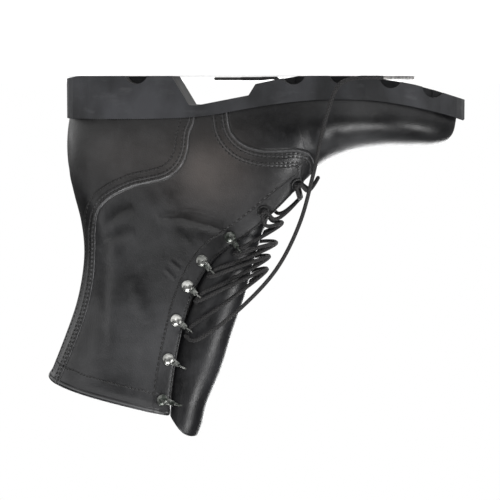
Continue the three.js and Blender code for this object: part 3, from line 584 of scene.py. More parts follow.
PANEL_RISE = 1.4  # millimetres over which a panel comes up to its thickness
PANEL_INSET = 0.6  # from a panel's line to the middle of that rise
CUFF_WIDTH = 6.0  # of the turned edge of the collar
CUFF_ROUNDING = 2.2
FREE_EDGE_RADIUS = 1.7


def shape_half(side, grid):
    """Adds the panels, the cuff and the creases to one half, and what the material needs to know of them."""
    points = grid["points"]
    x, z = points[..., 0], points[..., 2]
    facing, collar = edge_distances(points)
    quarter = signed(x, z, QUARTER_LINE, QUARTER_REGION)
    counter = signed(x, z, COUNTER_LINE, COUNTER_REGION)
    outer = QUARTER_STEP * ramp(quarter - PANEL_INSET, PANEL_RISE)
    outer = outer + (COUNTER_STEP - QUARTER_STEP) * ramp(counter - PANEL_INSET, PANEL_RISE)
    cuff = ramp(CUFF_WIDTH - collar, CUFF_WIDTH)
    outer = outer + BINDING_STEP * cuff * np.clip(collar / CUFF_ROUNDING, 0.35, 1)
    inner = np.full_like(outer, -WALL) - BINDING_STEP * cuff
    centre = (outer + inner) / 2
    rim = rim_share(np.minimum(facing, collar), FREE_EDGE_RADIUS)
    # No creases close to the facing's edge, the collar and the sole
    above_sole = fade_in(z - feather_z(x), 4, 10)
    hold = fade_in(facing, 5, 14) * fade_in(collar, 9, 20) * above_sole
    hold = np.where(ROWS[:, None] < THROAT_ROW, above_sole, hold)
    crease = crease_height(x, z, side) * hold
    grid.update(crease=crease, quarter=quarter, counter=counter, facing=facing, collar=collar)
    grid["outer"] = points + grid["normals"] * (crease + centre + (outer - centre) * rim)[..., None]
    grid["inner"] = points + grid["normals"] * (crease + centre + (inner - centre) * rim)[..., None]
    grid["shading"] = grid_normals(grid["outer"], side)


for side, grid in BUILD.items():
    shape_half(side, grid)
seam_normals(BUILD[1]["shading"], BUILD[-1]["shading"], ROWS)

# Meshes


def mesh_object(name, points, faces, looks, normals=None, shades=None):
    """A smooth piece from points in the build's millimetres; shades are numbers a point for the material."""
    mesh = bpy.data.meshes.new(name)
    mesh.from_pydata(to_row(points).tolist(), [], [tuple(face) for face in faces])
    mesh.update()
    mesh.polygons.foreach_set("use_smooth", [True] * len(mesh.polygons))
    for kind, values in (shades or {}).items():
        layer = mesh.attributes.new(kind, "FLOAT", "POINT")
        layer.data.foreach_set("value", np.asarray(values, dtype=np.float32))
    if normals is not None:
        mesh.normals_split_custom_set_from_vertices(np.asarray(normals).tolist())
    mesh.materials.append(looks)
    return link(bpy.data.objects.new(name, mesh))


def grid_faces(rows, columns, flip):
    """Four-sided faces of a grid of points."""
    index = np.arange(rows * columns).reshape(rows, columns)
    a, b = index[:-1, :-1].ravel(), index[1:, :-1].ravel()
    c, d = index[1:, 1:].ravel(), index[:-1, 1:].ravel()
    return np.column_stack([a, b, c, d] if flip else [a, d, c, b])


def ring_faces(rings, sides, closed=False):
    """Faces between neighbouring rings of points, and from the last ring to the first where it is closed."""
    faces = []
    for i in range(rings if closed else rings - 1):
        low, high = i * sides, (i + 1) % rings * sides
        for k in range(sides):
            n = (k + 1) % sides
            faces.append([low + k, low + n, high + n, high + k])
    return faces


class Many:
    """Collects shapes for one piece, with numbers a point for the material."""

    def __init__(self):
        self.points = []
        self.faces = []
        self.shades = {}
        self.count = 0

    def add(self, points, faces, **shades):
        self.points.append(np.asarray(points))
        self.faces.append(np.asarray(faces) + self.count)
        for kind, values in shades.items():
            self.shades.setdefault(kind, []).append(np.broadcast_to(values, len(points)))
        self.count += len(points)

    def make(self, name, looks):
        shades = {kind: np.concatenate(values) for kind, values in self.shades.items()}
        return mesh_object(name, np.vstack(self.points), np.vstack(self.faces), looks, shades=shades)


# Materials


class Looks:
    """Builds one material's nodes."""

    def __init__(self, name):
        self.material = material(name)
        self.tree = self.material.node_tree
        self.place = self.add("ShaderNodeTexCoord", {}).outputs["Object"]

    def add(self, kind, sockets, **settings):
        """A node with values or other nodes' outputs in its sockets, which are named or numbered."""
        made = self.tree.nodes.new(kind)
        for name, value in settings.items():
            setattr(made, name, value)
        for key, value in sockets.items():
            socket = made.inputs[key]
            if isinstance(value, bpy.types.NodeSocket):
                self.tree.links.new(value, socket)
            elif socket.type == "RGBA":
                socket.default_value = (*value, 1.0)
            else:
                socket.default_value = value
        return made

    def noise(self, scale, detail=3.0, stretch=(1.0, 1.0, 1.0)):
        mapping = self.add("ShaderNodeMapping", {"Vector": self.place, "Scale": stretch})
        sockets = {"Vector": mapping.outputs["Vector"], "Scale": scale, "Detail": detail}
        return self.add("ShaderNodeTexNoise", sockets).outputs["Fac"]

    def cells(self, scale):
        return self.add("ShaderNodeTexVoronoi", {"Vector": self.place, "Scale": scale}).outputs["Distance"]

    def value_of(self, name):
        return self.add("ShaderNodeAttribute", {}, attribute_name=name).outputs["Fac"]

    def math(self, operation, first, second=0.0):
        return self.add("ShaderNodeMath", {0: first, 1: second}, operation=operation).outputs[0]

    def spread(self, value, low, high, to_low=0.0, to_high=1.0):
        """A value's place between low and high, held there, as a place between two others."""
        sockets = {"Value": value, "From Min": low, "From Max": high, "To Min": to_low, "To Max": to_high}
        return self.add("ShaderNodeMapRange", sockets, clamp=True).outputs["Result"]

    def blend(self, share, first, second):
        return self.add("ShaderNodeMix", {0: share, 6: first, 7: second}, data_type="RGBA").outputs[2]

    def bump(self, height, strength, distance, onto=None):
        sockets = {"Height": height, "Strength": strength, "Distance": distance}
        if onto is not None:
            sockets["Normal"] = onto
        return self.add("ShaderNodeBump", sockets).outputs["Normal"]

    def finish(self, color, roughness, normal=None, metallic=0.0, specular=0.5, glow=None):
        sockets = {
            "Base Color": color,
            "Roughness": roughness,
            "Metallic": metallic,
            "Specular IOR Level": specular,
        }
        if normal is not None:
            sockets["Normal"] = normal
        if glow is not None:
            sockets["Emission Color"] = (1.0, 1.0, 1.0)
            sockets["Emission Strength"] = glow
        shader = self.add("ShaderNodeBsdfPrincipled", sockets)
        self.add("ShaderNodeOutputMaterial", {"Surface": shader.outputs["BSDF"]})
        return self.material


def leather(name, dark, light, brown_sheen, smoothness, seam_dents_and_light=()):
    """Polished black leather: fine grain, soft cloudy tone with painted sheen and painted shade laid on each
    point, browner patches that are partly painted sheen, a grey bloom where it is rubbed.

    The seam rows are value, place, width and strength: a value that each point keeps, such as its distance
    from an edge, and where along it a sewn channel or another line is sunk and darkened with painted shade.
    A strength below 0 is a painted highlight instead, a light line along a cut edge or a raised ridge."""
    looks = Looks(name)
    clouds = looks.noise(38.0, 4.0)
    # the tone is painted sheen and painted shade laid on each point, with random clouds on top
    tone = looks.math("ADD", looks.value_of("tone"), looks.spread(clouds, 0.35, 0.7, -0.1, 0.16))
    color = looks.blend(looks.spread(tone, 0.0, 1.0), dark, light)
    # browner where each point's warmth says: partly the leather's own brown, partly painted sheen
    brown_and_sheen = looks.math("MULTIPLY", looks.value_of("brown_and_sheen"), looks.spread(clouds, 0.3, 0.7, 0.6, 1.0))
    color = looks.blend(brown_and_sheen, color, brown_sheen)
    rub = looks.spread(looks.noise(160.0, 5.0), 0.55, 0.75)
    color = looks.blend(looks.math("MULTIPLY", rub, 0.1), color, (0.07, 0.07, 0.074))
    rough = looks.spread(clouds, 0.3, 0.75, smoothness - 0.05, smoothness + 0.08)
    streaks = looks.noise(420.0, 2.0, (1.0, 1.0, 0.35))
    rough = looks.math("ADD", rough, looks.spread(streaks, 0.3, 0.7, -0.03, 0.04))
    grain = looks.bump(looks.cells(900.0), 0.16, 0.0003)
    pores = looks.bump(looks.noise(2400.0, 2.0), 0.12, 0.0002, grain)
    normal = looks.bump(looks.noise(130.0, 3.0, (1.0, 1.0, 1.6)), 0.1, 0.0012, pores)
    depth = None
    for value, place, width, strength in seam_dents_and_light:
        apart = looks.math("ABSOLUTE", looks.math("SUBTRACT", looks.value_of(value), place))
        share = looks.spread(apart, 0.0, width, 1.0, 0.0)
        if strength < 0:
            # painted highlight: a light line along a cut edge or a raised ridge
            color = looks.blend(looks.math("MULTIPLY", share, -strength), color, (0.16, 0.16, 0.165))
            continue
        # painted shade: darkens a sewn channel or the line beside a panel's edge
        color = looks.blend(looks.math("MULTIPLY", share, 0.75 * strength), color, (0.002, 0.002, 0.002))
        sunk = looks.math("MULTIPLY", share, -strength)
        depth = sunk if depth is None else looks.math("ADD", depth, sunk)
    if depth is not None:
        normal = looks.bump(depth, 0.9, 0.0005, normal)
    return looks.finish(color, rough, normal, specular=0.4)


def rubber(name):
    """Moulded rubber: matt grey-black wall with lighter scuffs, and painted shade that darkens faces turned
    towards the floor.
    """
    looks = Looks(name)
    clouds = looks.noise(26.0, 4.0, (1.0, 1.0, 0.6))
    color = looks.blend(looks.spread(clouds, 0.38, 0.64), (0.009, 0.0095, 0.011), (0.04, 0.041, 0.046))
    scuffs = looks.spread(looks.noise(90.0, 6.0, (0.6, 1.0, 1.6)), 0.56, 0.72)
    color = looks.blend(looks.math("MULTIPLY", scuffs, 0.3), color, (0.08, 0.08, 0.085))
    normal = looks.add("ShaderNodeNewGeometry", {}).outputs["Normal"]
    facing = looks.add("ShaderNodeSeparateXYZ", {0: normal})
    # painted shade: darker where the surface faces down
    under = looks.spread(facing.outputs["Z"], -0.2, -0.6)
    color = looks.blend(under, color, (0.008, 0.0065, 0.006))
    rough = looks.spread(clouds, 0.3, 0.7, 0.5, 0.68)
    fine = looks.bump(looks.noise(1300.0, 2.0), 0.18, 0.0003)
    coarse = looks.bump(looks.noise(210.0, 3.0), 0.15, 0.0006, fine)
    return looks.finish(color, rough, coarse, specular=0.4)


def cord_looks(name):
    """Braided cord: two sets of strands wound opposite ways."""
    looks = Looks(name)
    along = looks.math("MULTIPLY", looks.value_of("along"), 2.6)
    around = looks.math("MULTIPLY", looks.value_of("around"), 4.0)
    one = looks.math("SINE", looks.math("ADD", along, around))
    two = looks.math("SINE", looks.math("SUBTRACT", along, around))
    weave = looks.math("MAXIMUM", one, two)
    color = looks.blend(looks.spread(weave, -0.6, 1.0), (0.006, 0.006, 0.006), (0.03, 0.029, 0.03))
    dust = looks.spread(looks.noise(300.0, 3.0), 0.5, 0.75)
    color = looks.blend(looks.math("MULTIPLY", dust, 0.3), color, (0.07, 0.066, 0.06))
    normal = looks.bump(weave, 0.7, 0.0003)
    return looks.finish(color, looks.spread(dust, 0.0, 1.0, 0.62, 0.8), normal, specular=0.3)


def metal_looks(name):
    """Nickel that is worn or darkened, as the piece's tone says."""
    looks = Looks(name)
    clouds = looks.spread(looks.noise(260.0, 4.0), 0.4, 0.7, -0.15, 0.25)
    dark = looks.math("ADD", looks.value_of("tone"), clouds)
    color = looks.blend(looks.spread(dark, 0.0, 1.0), (0.5, 0.5, 0.48), (0.03, 0.036, 0.03))
    rough = looks.spread(looks.noise(500.0, 3.0), 0.3, 0.7, 0.2, 0.38)
    normal = looks.bump(looks.noise(700.0, 3.0), 0.12, 0.0002)
    return looks.finish(color, rough, normal, metallic=looks.spread(dark, 0.3, 1.3, 1.0, 0.55))


def simple_looks(name, dark, light, scale, roughness, bump_scale, bump, metallic=0.0):
    """Soft clouds between two colours and two roughnesses, with a fine bump."""
    looks = Looks(name)
    clouds = looks.noise(scale, 4.0)
    color = looks.blend(looks.spread(clouds, 0.35, 0.7), dark, light)
    normal = looks.bump(looks.noise(bump_scale, 3.0), bump, 0.0003)
    return looks.finish(color, looks.spread(clouds, 0.3, 0.7, *roughness), normal, metallic=metallic)


# Rows of stitches, by their distance from the edge that they follow
QUARTER_STITCHES = [2.6, 4.9, 9.4, 11.7]
COUNTER_STITCHES = [2.4, 4.7, 9.4]
FACING_EDGE_STITCHES = 2.2
FACING_STITCHES = 14.2
COLLAR_STITCHES = 15.5
# What the leather shows along its seam lines: the value, place, width and strength that leather() takes.
# A strength above 0 sinks a line and darkens it with painted shade: the sewn channels, the shadow just
# outside the quarter's and the counter's edges, and a line across the collar's cuff. A strength below 0 is a
# painted highlight: along the panels' edges, on the ridges between rows of stitches and on the cuff.
SEAM_DENTS_AND_PAINTED_LIGHT = [
    ("quarter", QUARTER_STITCHES[0], 0.9, 0.25),
    ("quarter", 3.8, 0.6, -0.3),
    ("quarter", QUARTER_STITCHES[1], 0.9, 0.25),
    ("quarter", QUARTER_STITCHES[2], 0.9, 0.25),
    ("quarter", 10.6, 0.6, -0.28),
    ("quarter", QUARTER_STITCHES[3], 0.9, 0.25),
    ("quarter", -0.7, 1.1, 0.9),
    ("quarter", 0.7, 0.6, -0.35),
    ("counter", COUNTER_STITCHES[0], 0.9, 0.25),
    ("counter", 3.6, 0.6, -0.3),
    ("counter", COUNTER_STITCHES[1], 0.9, 0.25),
    ("counter", COUNTER_STITCHES[2], 0.9, 0.4),
    ("counter", -0.7, 1.1, 0.9),
    ("counter", 0.7, 0.6, -0.4),
    ("facing", FACING_EDGE_STITCHES, 0.8, 0.6),
    ("facing", FACING_STITCHES, 0.9, 0.4),
    ("collar", COLLAR_STITCHES, 0.9, 0.35),
    ("collar", 3.9, 0.9, 0.8),
    ("collar", 2.6, 0.7, -0.6),
]
BLACK = (0.004, 0.004, 0.0045)
UPPER_LOOKS = leather("boot_leather", BLACK, (0.07, 0.071, 0.075), (0.075, 0.062, 0.055), 0.37, SEAM_DENTS_AND_PAINTED_LIGHT)
TONGUE_LOOKS = leather("tongue_leather", BLACK, (0.03, 0.031, 0.036), (0.02, 0.017, 0.015), 0.34)
LINING_LOOKS = simple_looks(
    "lining_leather", (0.02, 0.018, 0.017), (0.05, 0.046, 0.043), 60, (0.6, 0.75), 900, 0.3
)
BOARD_LOOKS = simple_looks(
    "insole_board", (0.03, 0.027, 0.025), (0.07, 0.062, 0.055), 80, (0.7, 0.9), 1100, 0.3
)
RUBBER_LOOKS = rubber("sole_rubber")
CORD_LOOKS = cord_looks("lace_cord")
METAL_LOOKS = metal_looks("ring_metal")
BLACK_LOOKS = simple_looks(
    "black_lacquer", (0.01, 0.01, 0.01), (0.04, 0.04, 0.04), 500, (0.25, 0.45), 700, 0.1, 0.4
)
THREAD_LOOKS = simple_looks(
    "stitch_thread", (0.002, 0.002, 0.002), (0.012, 0.011, 0.01), 400, (0.5, 0.65), 3000, 0.3
)
# Light grey on the panels' cut edges: a painted highlight along the edges
EDGE_HIGHLIGHT_LOOKS = simple_looks("cut_edge_highlight", (0.05, 0.05, 0.052), (0.16, 0.16, 0.165), 250, (0.4, 0.6), 1500, 0.3)
SILVER_TIP = simple_looks("worn_tip", (0.1, 0.1, 0.1), (0.42, 0.41, 0.4), 500, (0.3, 0.5), 900, 0.2, 0.5)
DARK_TIP = simple_looks("dark_tip", (0.01, 0.009, 0.009), (0.05, 0.045, 0.042), 500, (0.3, 0.5), 900, 0.2)

# Stage, light and camera

FLOOR_REACH = 3.0  # metres to each side
LIGHTS = [
    # name, place, width and power
    ("key", (0.35, 0.75, 1.25), 0.5, 13.0),
    ("low", (0.5, 1.5, 0.12), 0.4, 1.8),
    ("fill", (-1.0, 0.8, 0.4), 0.4, 2.0),
    ("toe_light", (1.2, 0.4, 0.8), 0.4, 6.0),
    ("rim", (-0.3, -0.9, 1.1), 0.6, 9.0),
    ("inner_fill", (0.3, -1.2, 0.5), 0.5, 4.0),
]
LIT_PLACE = Vector((0.08, 0.0, 0.12))
CAMERA_PLACE = Vector((0.169, 1.45, 0.008))
CAMERA_AIM = Vector((0.0935, 0.03, 0.131))


def make_floor():
    """A pale floor that also glows a little, more so far from the boot, as a bright studio floor does."""
    looks = Looks("floor_paint")
    distance = looks.add("ShaderNodeVectorMath", {0: looks.place}, operation="LENGTH")
    glow = looks.spread(distance.outputs["Value"], 0.35, 1.0, 0.4, 1.0)
    mesh = bpy.data.meshes.new("floor")
    corners = [(x * FLOOR_REACH, y * FLOOR_REACH, 0) for x, y in [(-1, -1), (1, -1), (1, 1), (-1, 1)]]
    mesh.from_pydata(corners, [], [(0, 1, 2, 3)])
    mesh.materials.append(looks.finish((0.85, 0.85, 0.85), 0.7, glow=glow))
    link(bpy.data.objects.new("floor", mesh))


def make_lights():
    """Soft lights, and a studio that is white to look at and only dimly lit from there."""
    world = bpy.data.worlds.new("studio")
    bpy.context.scene.world = world
    world.use_nodes = True
    tree = world.node_tree
    background = tree.nodes["Background"]
    background.inputs["Color"].default_value = (1.0, 1.0, 1.0, 1.0)
    rays = tree.nodes.new("ShaderNodeLightPath")
    share = tree.nodes.new("ShaderNodeMapRange")
    share.inputs["To Min"].default_value = 0.09
    share.inputs["To Max"].default_value = 1.0
    tree.links.new(rays.outputs["Is Camera Ray"], share.inputs["Value"])
    tree.links.new(share.outputs["Result"], background.inputs["Strength"])
    for name, place, width, power in LIGHTS:
        light = bpy.data.lights.new(name, "AREA")
        light.size = width
        light.energy = power
        lamp = link(bpy.data.objects.new(name, light))
        lamp.location = place
        lamp.rotation_euler = (LIT_PLACE - Vector(place)).to_track_quat("-Z", "Y").to_euler()


def make_camera():
    """Looks at the outer side from just above the floor, rolled so that the sole is up and the toe right."""
    data = bpy.data.cameras.new("camera")
    camera = link(bpy.data.objects.new("camera", data))
    ahead = (CAMERA_AIM - CAMERA_PLACE).normalized()
    down = Vector((0.0, 0.0, -1.0))
    right = ahead.cross(down).normalized()
    up = right.cross(ahead).normalized()
    turn = Matrix((right, up, -ahead)).transposed()
    camera.matrix_world = Matrix.Translation(CAMERA_PLACE) @ turn.to_4x4()
    data.sensor_width = 36.0
    data.lens = 136.0
    data.clip_start = 0.05
    bpy.context.scene.camera = camera


bpy.context.scene.view_settings.view_transform = "Standard"
make_camera()
make_lights()
make_floor()

# Loose lace ends


def circle_frames(path):
    """Two directions across a path at each of its points, turning as little as they can."""
    tangents = unit(np.gradient(path, axis=0))
    across = np.zeros_like(path)
    current = np.array([0.3, 0.2, 1.0])
    for i, tangent in enumerate(tangents):
        current = current - tangent * np.dot(current, tangent)
        current = current / np.linalg.norm(current)
        across[i] = current
    return across, np.cross(tangents, across)


def tube_mesh(path, radius, sides):
    """Points and faces of a round cord with rounded ends, and how far along and around it each point lies."""
    steps = run_lengths(path)
    ends = np.minimum(steps, steps[-1] - steps)
    radii = radius * np.sqrt(np.clip(1 - (1 - np.clip(ends / radius, 0.02, 1)) ** 2, 0, 1))
    across, up = circle_frames(path)
    angles = np.linspace(0, 2 * math.pi, sides + 1)
    ring = across[:, None] * np.cos(angles)[:, None] + up[:, None] * np.sin(angles)[:, None]
    points = path[:, None] + ring * radii[:, None, None]
    faces = grid_faces(len(path), sides + 1, False).tolist()
    along = np.repeat(steps, sides + 1)
    around = np.tile(angles, len(path))
    return points.reshape(-1, 3), faces, along, around


def end_refined(path, radius):
    """Adds points close to both ends of a path, so that its ends can be rounded."""
    first, last = unit(path[1] - path[0]), unit(path[-2] - path[-1])
    near = radius * np.array([0.02, 0.15, 0.4, 0.8])
    head = [path[0]] + [path[0] + first * d for d in near]
    tail = [path[-1] + last * d for d in near[::-1]] + [path[-1]]
    apart = np.minimum(np.linalg.norm(path - path[0], axis=1), np.linalg.norm(path - path[-1], axis=1))
    return np.array(head + list(path[apart > radius]) + tail)


def cord_object(name, path, radius, looks):
    points, faces, along, around = tube_mesh(end_refined(path, radius), radius, 14)
    return mesh_object(name, points, faces, looks, shades={"along": along, "around": around})


def facing_frame(t, side, distance):
    """Point, outward normal, way to the throat and way up, at a distance from the facing's edge."""

    def at(row, turn):
        return upper_point(np.array([row]), np.array([turn]), side)[0]

    low, high = 0.0, 0.4
    for _ in range(24):
        turn = (low + high) / 2
        if np.linalg.norm(at(t, turn) - at(t, 0)) < distance:
            low = turn
        else:
            high = turn
    turn = (low + high) / 2
    point = at(t, turn)
    inward = unit(at(t, turn - 0.01) - at(t, turn + 0.01))
    upward = unit(at(t + 0.1, turn) - at(t - 0.1, turn))
    normal = unit(np.cross(upward, inward) * side)
    upward = unit(np.cross(normal, inward) * -side)
    return {"point": point, "normal": normal, "inward": inward, "upward": upward}


EYELET_ROWS = [8.95, 10.6]
RING_ROWS = [12.3, 15.4, 18.3, 20.75, 22.75, 24.4]
LACED_ROWS = EYELET_ROWS + RING_ROWS[:4]
RING_CENTRE = EDGE_TO_RIVET + RING_RADIUS + RING_WIRE + 0.4


def station(k, side):
    """Where the lace passes place k on one side: over an eyelet, or through a ring."""
    place = facing_frame(LACED_ROWS[k], side, EDGE_TO_RIVET)
    ring = k >= len(EYELET_ROWS)
    out = RING_CENTRE if ring else 0.0
    if ring:
        lift = QUARTER_STEP + CLEARANCE + RING_RADIUS * 0.45
    else:
        lift = QUARTER_STEP + CLEARANCE + 0.9 + 3 * CLEARANCE + LACE_DIAMETER / 2
    place["at"] = place["point"] + place["inward"] * out + place["normal"] * lift
    place["ring"] = ring
    return place


# Where each loose end passes after the ring, on the outer side (1) and the inner side (-1)
LOOSE_ENDS = {
    1: [
        (100, 41, 199), (113, 44, 192), (140, 42, 170), (163, 40, 144), (180, 46, 110), (191, 56, 70),
        (200, 65, 30), (210, 71, 6), (224, 75, 1.6), (242, 74, 1.6),
    ],
    -1: [
        (99, -42, 198), (112, -48, 184), (130, -50, 150), (147, -56, 100), (157, -65, 50),
        (162, -72, 12), (158, -80, 1.6), (144, -87, 1.6), (128, -90, 1.6),
    ],
}


def make_loose_end(side, name, tip_looks):
    """A cord from the highest laced ring down to the floor, and its tip."""
    top = station(len(LACED_ROWS) - 1, side)
    start = top["at"] + top["upward"] * ABOVE_RING
    route = np.vstack([[start], LOOSE_ENDS[side]])
    path = curve_points(route, 12)
    piece = cord_object(f"loose_lace_{name}", path, LACE_DIAMETER / 2, CORD_LOOKS)
    ahead = unit(path[-1] - path[-2])
    tip_path = np.array([path[-1] + ahead * d for d in np.linspace(-TIP_BITE, TIP_LENGTH, 12)])
    tip = cord_object(f"lace_tip_shell_{name}", tip_path, TIP_RADIUS, tip_looks)
    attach(piece, "root")
    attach(tip, "root")
    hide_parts(f"lace_end_{name}")
    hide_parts(f"lace_tip_{name}")


make_loose_end(1, "lateral", SILVER_TIP)
make_loose_end(-1, "medial", DARK_TIP)

# Upper


# Lighter patches of the leather, painted sheen on the shaft, the heel, the quarter and the vamp: middle x
# and z, half length, half height and amount
SHEEN_PATCHES = [
    (58, 196, 24, 32, 0.3),
    (48, 62, 30, 16, 0.2),
    (118, 76, 34, 26, 0.3),
    (196, 54, 40, 13, 0.2),
    (236, 48, 40, 6, 0.14),
]
# Browner patches, partly the leather's own brown and partly painted sheen: the same columns
BROWN_AND_SHEEN_PATCHES = [
    (112, 70, 30, 26, 0.8),
    (48, 60, 30, 20, 0.25),
]


def leather_tones(grid):
    """Tone and warmth of the leather at each point. The tone carries painted sheen, higher up and in soft
    patches, and painted shade, in a band just above the sole and in the creases' troughs; it is also a little
    darker on the counter. The warmth is browner low on the quarter, partly painted sheen.
    """
    x, z = grid["points"][..., 0], grid["points"][..., 2]
    # painted sheen: lighter higher up the shaft
    tone = 0.09 + 0.08 * smooth((z - 120) / 80)
    tone = tone + patches(x, z, SHEEN_PATCHES)
    # painted shade in a band just above the sole
    tone = tone - 0.12 * np.exp(-(((z - 36) / 7) ** 2))
    # painted shade in the creases' troughs and painted highlight on their ridges and bulges
    tone = tone + 0.1 * np.clip(grid["crease"], -1, 1)
    tone = tone - 0.08 * (grid["counter"] > 0)
    high = ROWS[:, None] > THROAT_ROW + 0.8
    return {
        "tone": tone.ravel(),
        "brown_and_sheen": patches(x, z, BROWN_AND_SHEEN_PATCHES).ravel(),
        "quarter": grid["quarter"].ravel(),
        "counter": grid["counter"].ravel(),
        "facing": np.where(high, grid["facing"], NOWHERE).ravel(),
        "collar": np.where(grid["facing"] > 9, grid["collar"], NOWHERE).ravel(),
    }


def make_upper():
    """Skin and lining of both halves, and the skins by side. The linings keep every fourth column."""
    made = {}
    for side, name in ((1, "upper_outer_half"), (-1, "upper_inner_half")):
        grid = BUILD[side]
        rows, columns = grid["outer"].shape[:2]
        piece = mesh_object(
            name,
            grid["outer"].reshape(-1, 3),
            grid_faces(rows, columns, side < 0),
            UPPER_LOOKS,
            grid["shading"].reshape(-1, 3),
            leather_tones(grid),
        )
        made[side] = piece
        keep = np.unique(np.concatenate([np.arange(0, 6), np.arange(6, columns, 4), [columns - 1]]))
        inner = grid["inner"][:, keep]
        normals = -grid_normals(inner, side)
        lining = mesh_object(
            f"lining_{'outer' if side > 0 else 'inner'}_half",
            inner.reshape(-1, 3),
            grid_faces(rows, len(keep), side > 0),
            LINING_LOOKS,
            normals.reshape(-1, 3),
        )
        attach(piece, "root")
        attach(lining, "root")
    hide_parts("upper")
    return made


UPPER = make_upper()

# Tongue

TONGUE = table(
    ["x", "z", "half", "depth", "turn", "middle"],
    [
        [0.664, 0.213, 0.1, 0.03, 78, 0.026],
        [0.628, 0.243, 0.105, 0.035, 80, 0.037],
        [0.59, 0.29, 0.112, 0.045, 84, 0.043],
        [0.553, 0.341, 0.125, 0.07, 90, 0.043],
        [0.52, 0.4, 0.148, 0.115, 96, 0.037],
        [0.495, 0.462, 0.172, 0.165, 102, 0.028],
        [0.477, 0.526, 0.192, 0.21, 106, 0.017],
        [0.463, 0.59, 0.208, 0.24, 108, 0.007],
        [0.45, 0.65, 0.22, 0.255, 110, 0],
        [0.432, 0.718, 0.228, 0.255, 110, 0],
        [0.408, 0.795, 0.234, 0.25, 110, 0],
        [0.383, 0.88, 0.238, 0.235, 108, 0],
        [0.362, 0.955, 0.24, 0.215, 106, 0],
        [0.347, 1.01, 0.238, 0.195, 104, 0],
        [0.337, 1.05, 0.236, 0.18, 102, 0],
        [0.33, 1.08, 0.234, 0.17, 100, 0],
    ],
)
TONGUE_TOP = 15
TONGUE_DROP = 1.5  # sections by which the wings end lower


def tongue_point(s, v):
    """A point of the tongue's outer face: s is the section, and v runs from -1 inside to 1 outside."""
    s = np.asarray(s, dtype=float)

    def middle(at):
        return row_value(TONGUE["x"], at) * SOLE_LENGTH, row_value(TONGUE["z"], at) * COLLAR_HEIGHT

    high_x, high_z = middle(np.minimum(s + 0.1, TONGUE_TOP))
    low_x, low_z = middle(np.maximum(s - 0.1, 0))
    length = np.hypot(high_x - low_x, high_z - low_z)
    forward_x, forward_z = (high_z - low_z) / length, -(high_x - low_x) / length
    turn = v * np.radians(row_value(TONGUE["turn"], s))
    back = (np.cos(turn) - 1) * row_value(TONGUE["depth"], s) * BALL_WIDTH
    front_x, front_z = middle(s)
    y = (row_value(TONGUE["middle"], s) + np.sin(turn) * row_value(TONGUE["half"], s)) * BALL_WIDTH
    return np.stack(np.broadcast_arrays(front_x + forward_x * back, y, front_z + forward_z * back), axis=-1)


def make_tongue():
    """Front and back of the tongue's leather, meeting in a round edge, with slow waves near the top and a
    painted highlight down its middle.
    """
    edges = np.array([0.0, 0.003, 0.01, 0.02, 0.035])
    across = np.concatenate([edges, np.linspace(0.05, 0.95, 90), 1 - edges[::-1]]) * 2 - 1
    up = np.concatenate([edges / 2, np.linspace(0.02, 0.985, 150), 1 - edges[::-1] / 3])
    v = np.broadcast_to(across[None], (len(up), len(across)))
    end = TONGUE_TOP - TONGUE_DROP * np.abs(v) ** 3
    s = up[:, None] * end
    points = tongue_point(s, v)
    normals = unit(np.cross(np.gradient(points, axis=1), np.gradient(points, axis=0)))
    wave = 0.7 * np.sin(s * 1.9 + 1.1 * v) * smooth((s - 7) / 3) * (1 - v * v)
    wave = wave + 0.9 * np.sin(2.6 * v + 0.25 * s) * smooth((s - 9) / 3)
    points = points + normals * wave[..., None]
    left = run_lengths(points.swapaxes(0, 1)).T
    sides = np.minimum(left, left[:, -1:] - left)
    above = run_lengths(points[::-1])[::-1]
    rim = rim_share(np.minimum(sides, above), 1.2)[..., None]
    centre = points - normals * TONGUE_THICKNESS / 2
    front = centre + normals * rim * TONGUE_THICKNESS / 2
    back = centre - normals * rim * TONGUE_THICKNESS / 2
    rows, columns = len(up), len(across)
    # painted highlight: a lighter band down the middle of the tongue
    tone = 0.1 + 0.14 * np.exp(-((v + 0.1) ** 2) / 0.2)
    back_faces = grid_faces(rows, columns, True) + rows * columns
    faces = np.vstack([grid_faces(rows, columns, False), back_faces])
    all_points = np.vstack([front.reshape(-1, 3), back.reshape(-1, 3)])
    shades = {"tone": np.tile(tone.ravel(), 2), "brown_and_sheen": np.zeros(2 * rows * columns)}
    piece = mesh_object("tongue_leaf", all_points, faces, TONGUE_LOOKS, shades=shades)
    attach(piece, "root")
    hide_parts("tongue")


make_tongue()

# Laces across the throat

# For each place where the laces cross: the tongue's section and the slack ahead of the tongue
CROSSINGS = [(1.6, 7), (2.9, 7), (4.3, 6), (5.3, 8), (6, 6), (6.6, 7)]
FROM_TONGUE = LACE_DIAMETER / 2 + 3


def crossing_middle(k):
    """Where crossing k passes in front of the tongue."""
    s, slack = CROSSINGS[k]
    across = tongue_point(s, 0.02) - tongue_point(s, -0.02)
    up = tongue_point(s + 0.02, 0.0) - tongue_point(s - 0.02, 0.0)
    return tongue_point(s, 0.0) + unit(np.cross(across, up)) * (FROM_TONGUE + slack)


BESIDE_TONGUE = 0.42  # share of the way from a ring to the crossing's middle where the lace passes the tongue


def crossing_end(k, side, middle, direction):
    """Where a crossing starts or ends: over the facing's edge, or beside the tongue from a ring."""
    place = station(k, side)

    def away(inward, out, up):
        return place["at"] + place["inward"] * inward + place["normal"] * out + place["upward"] * up

    if not place["ring"]:
        return [away(8, 2.2, direction * 4)]
    beside = place["at"] + (middle - place["at"]) * BESIDE_TONGUE
    if direction < 0:
        beside[1] = place["at"][1] - 2 * side
        return [beside]
    beside[1] = place["at"][1] + 4 * side
    return [away(-0.5, 4, 4.6), away(1, 6.8, 1.6), beside]


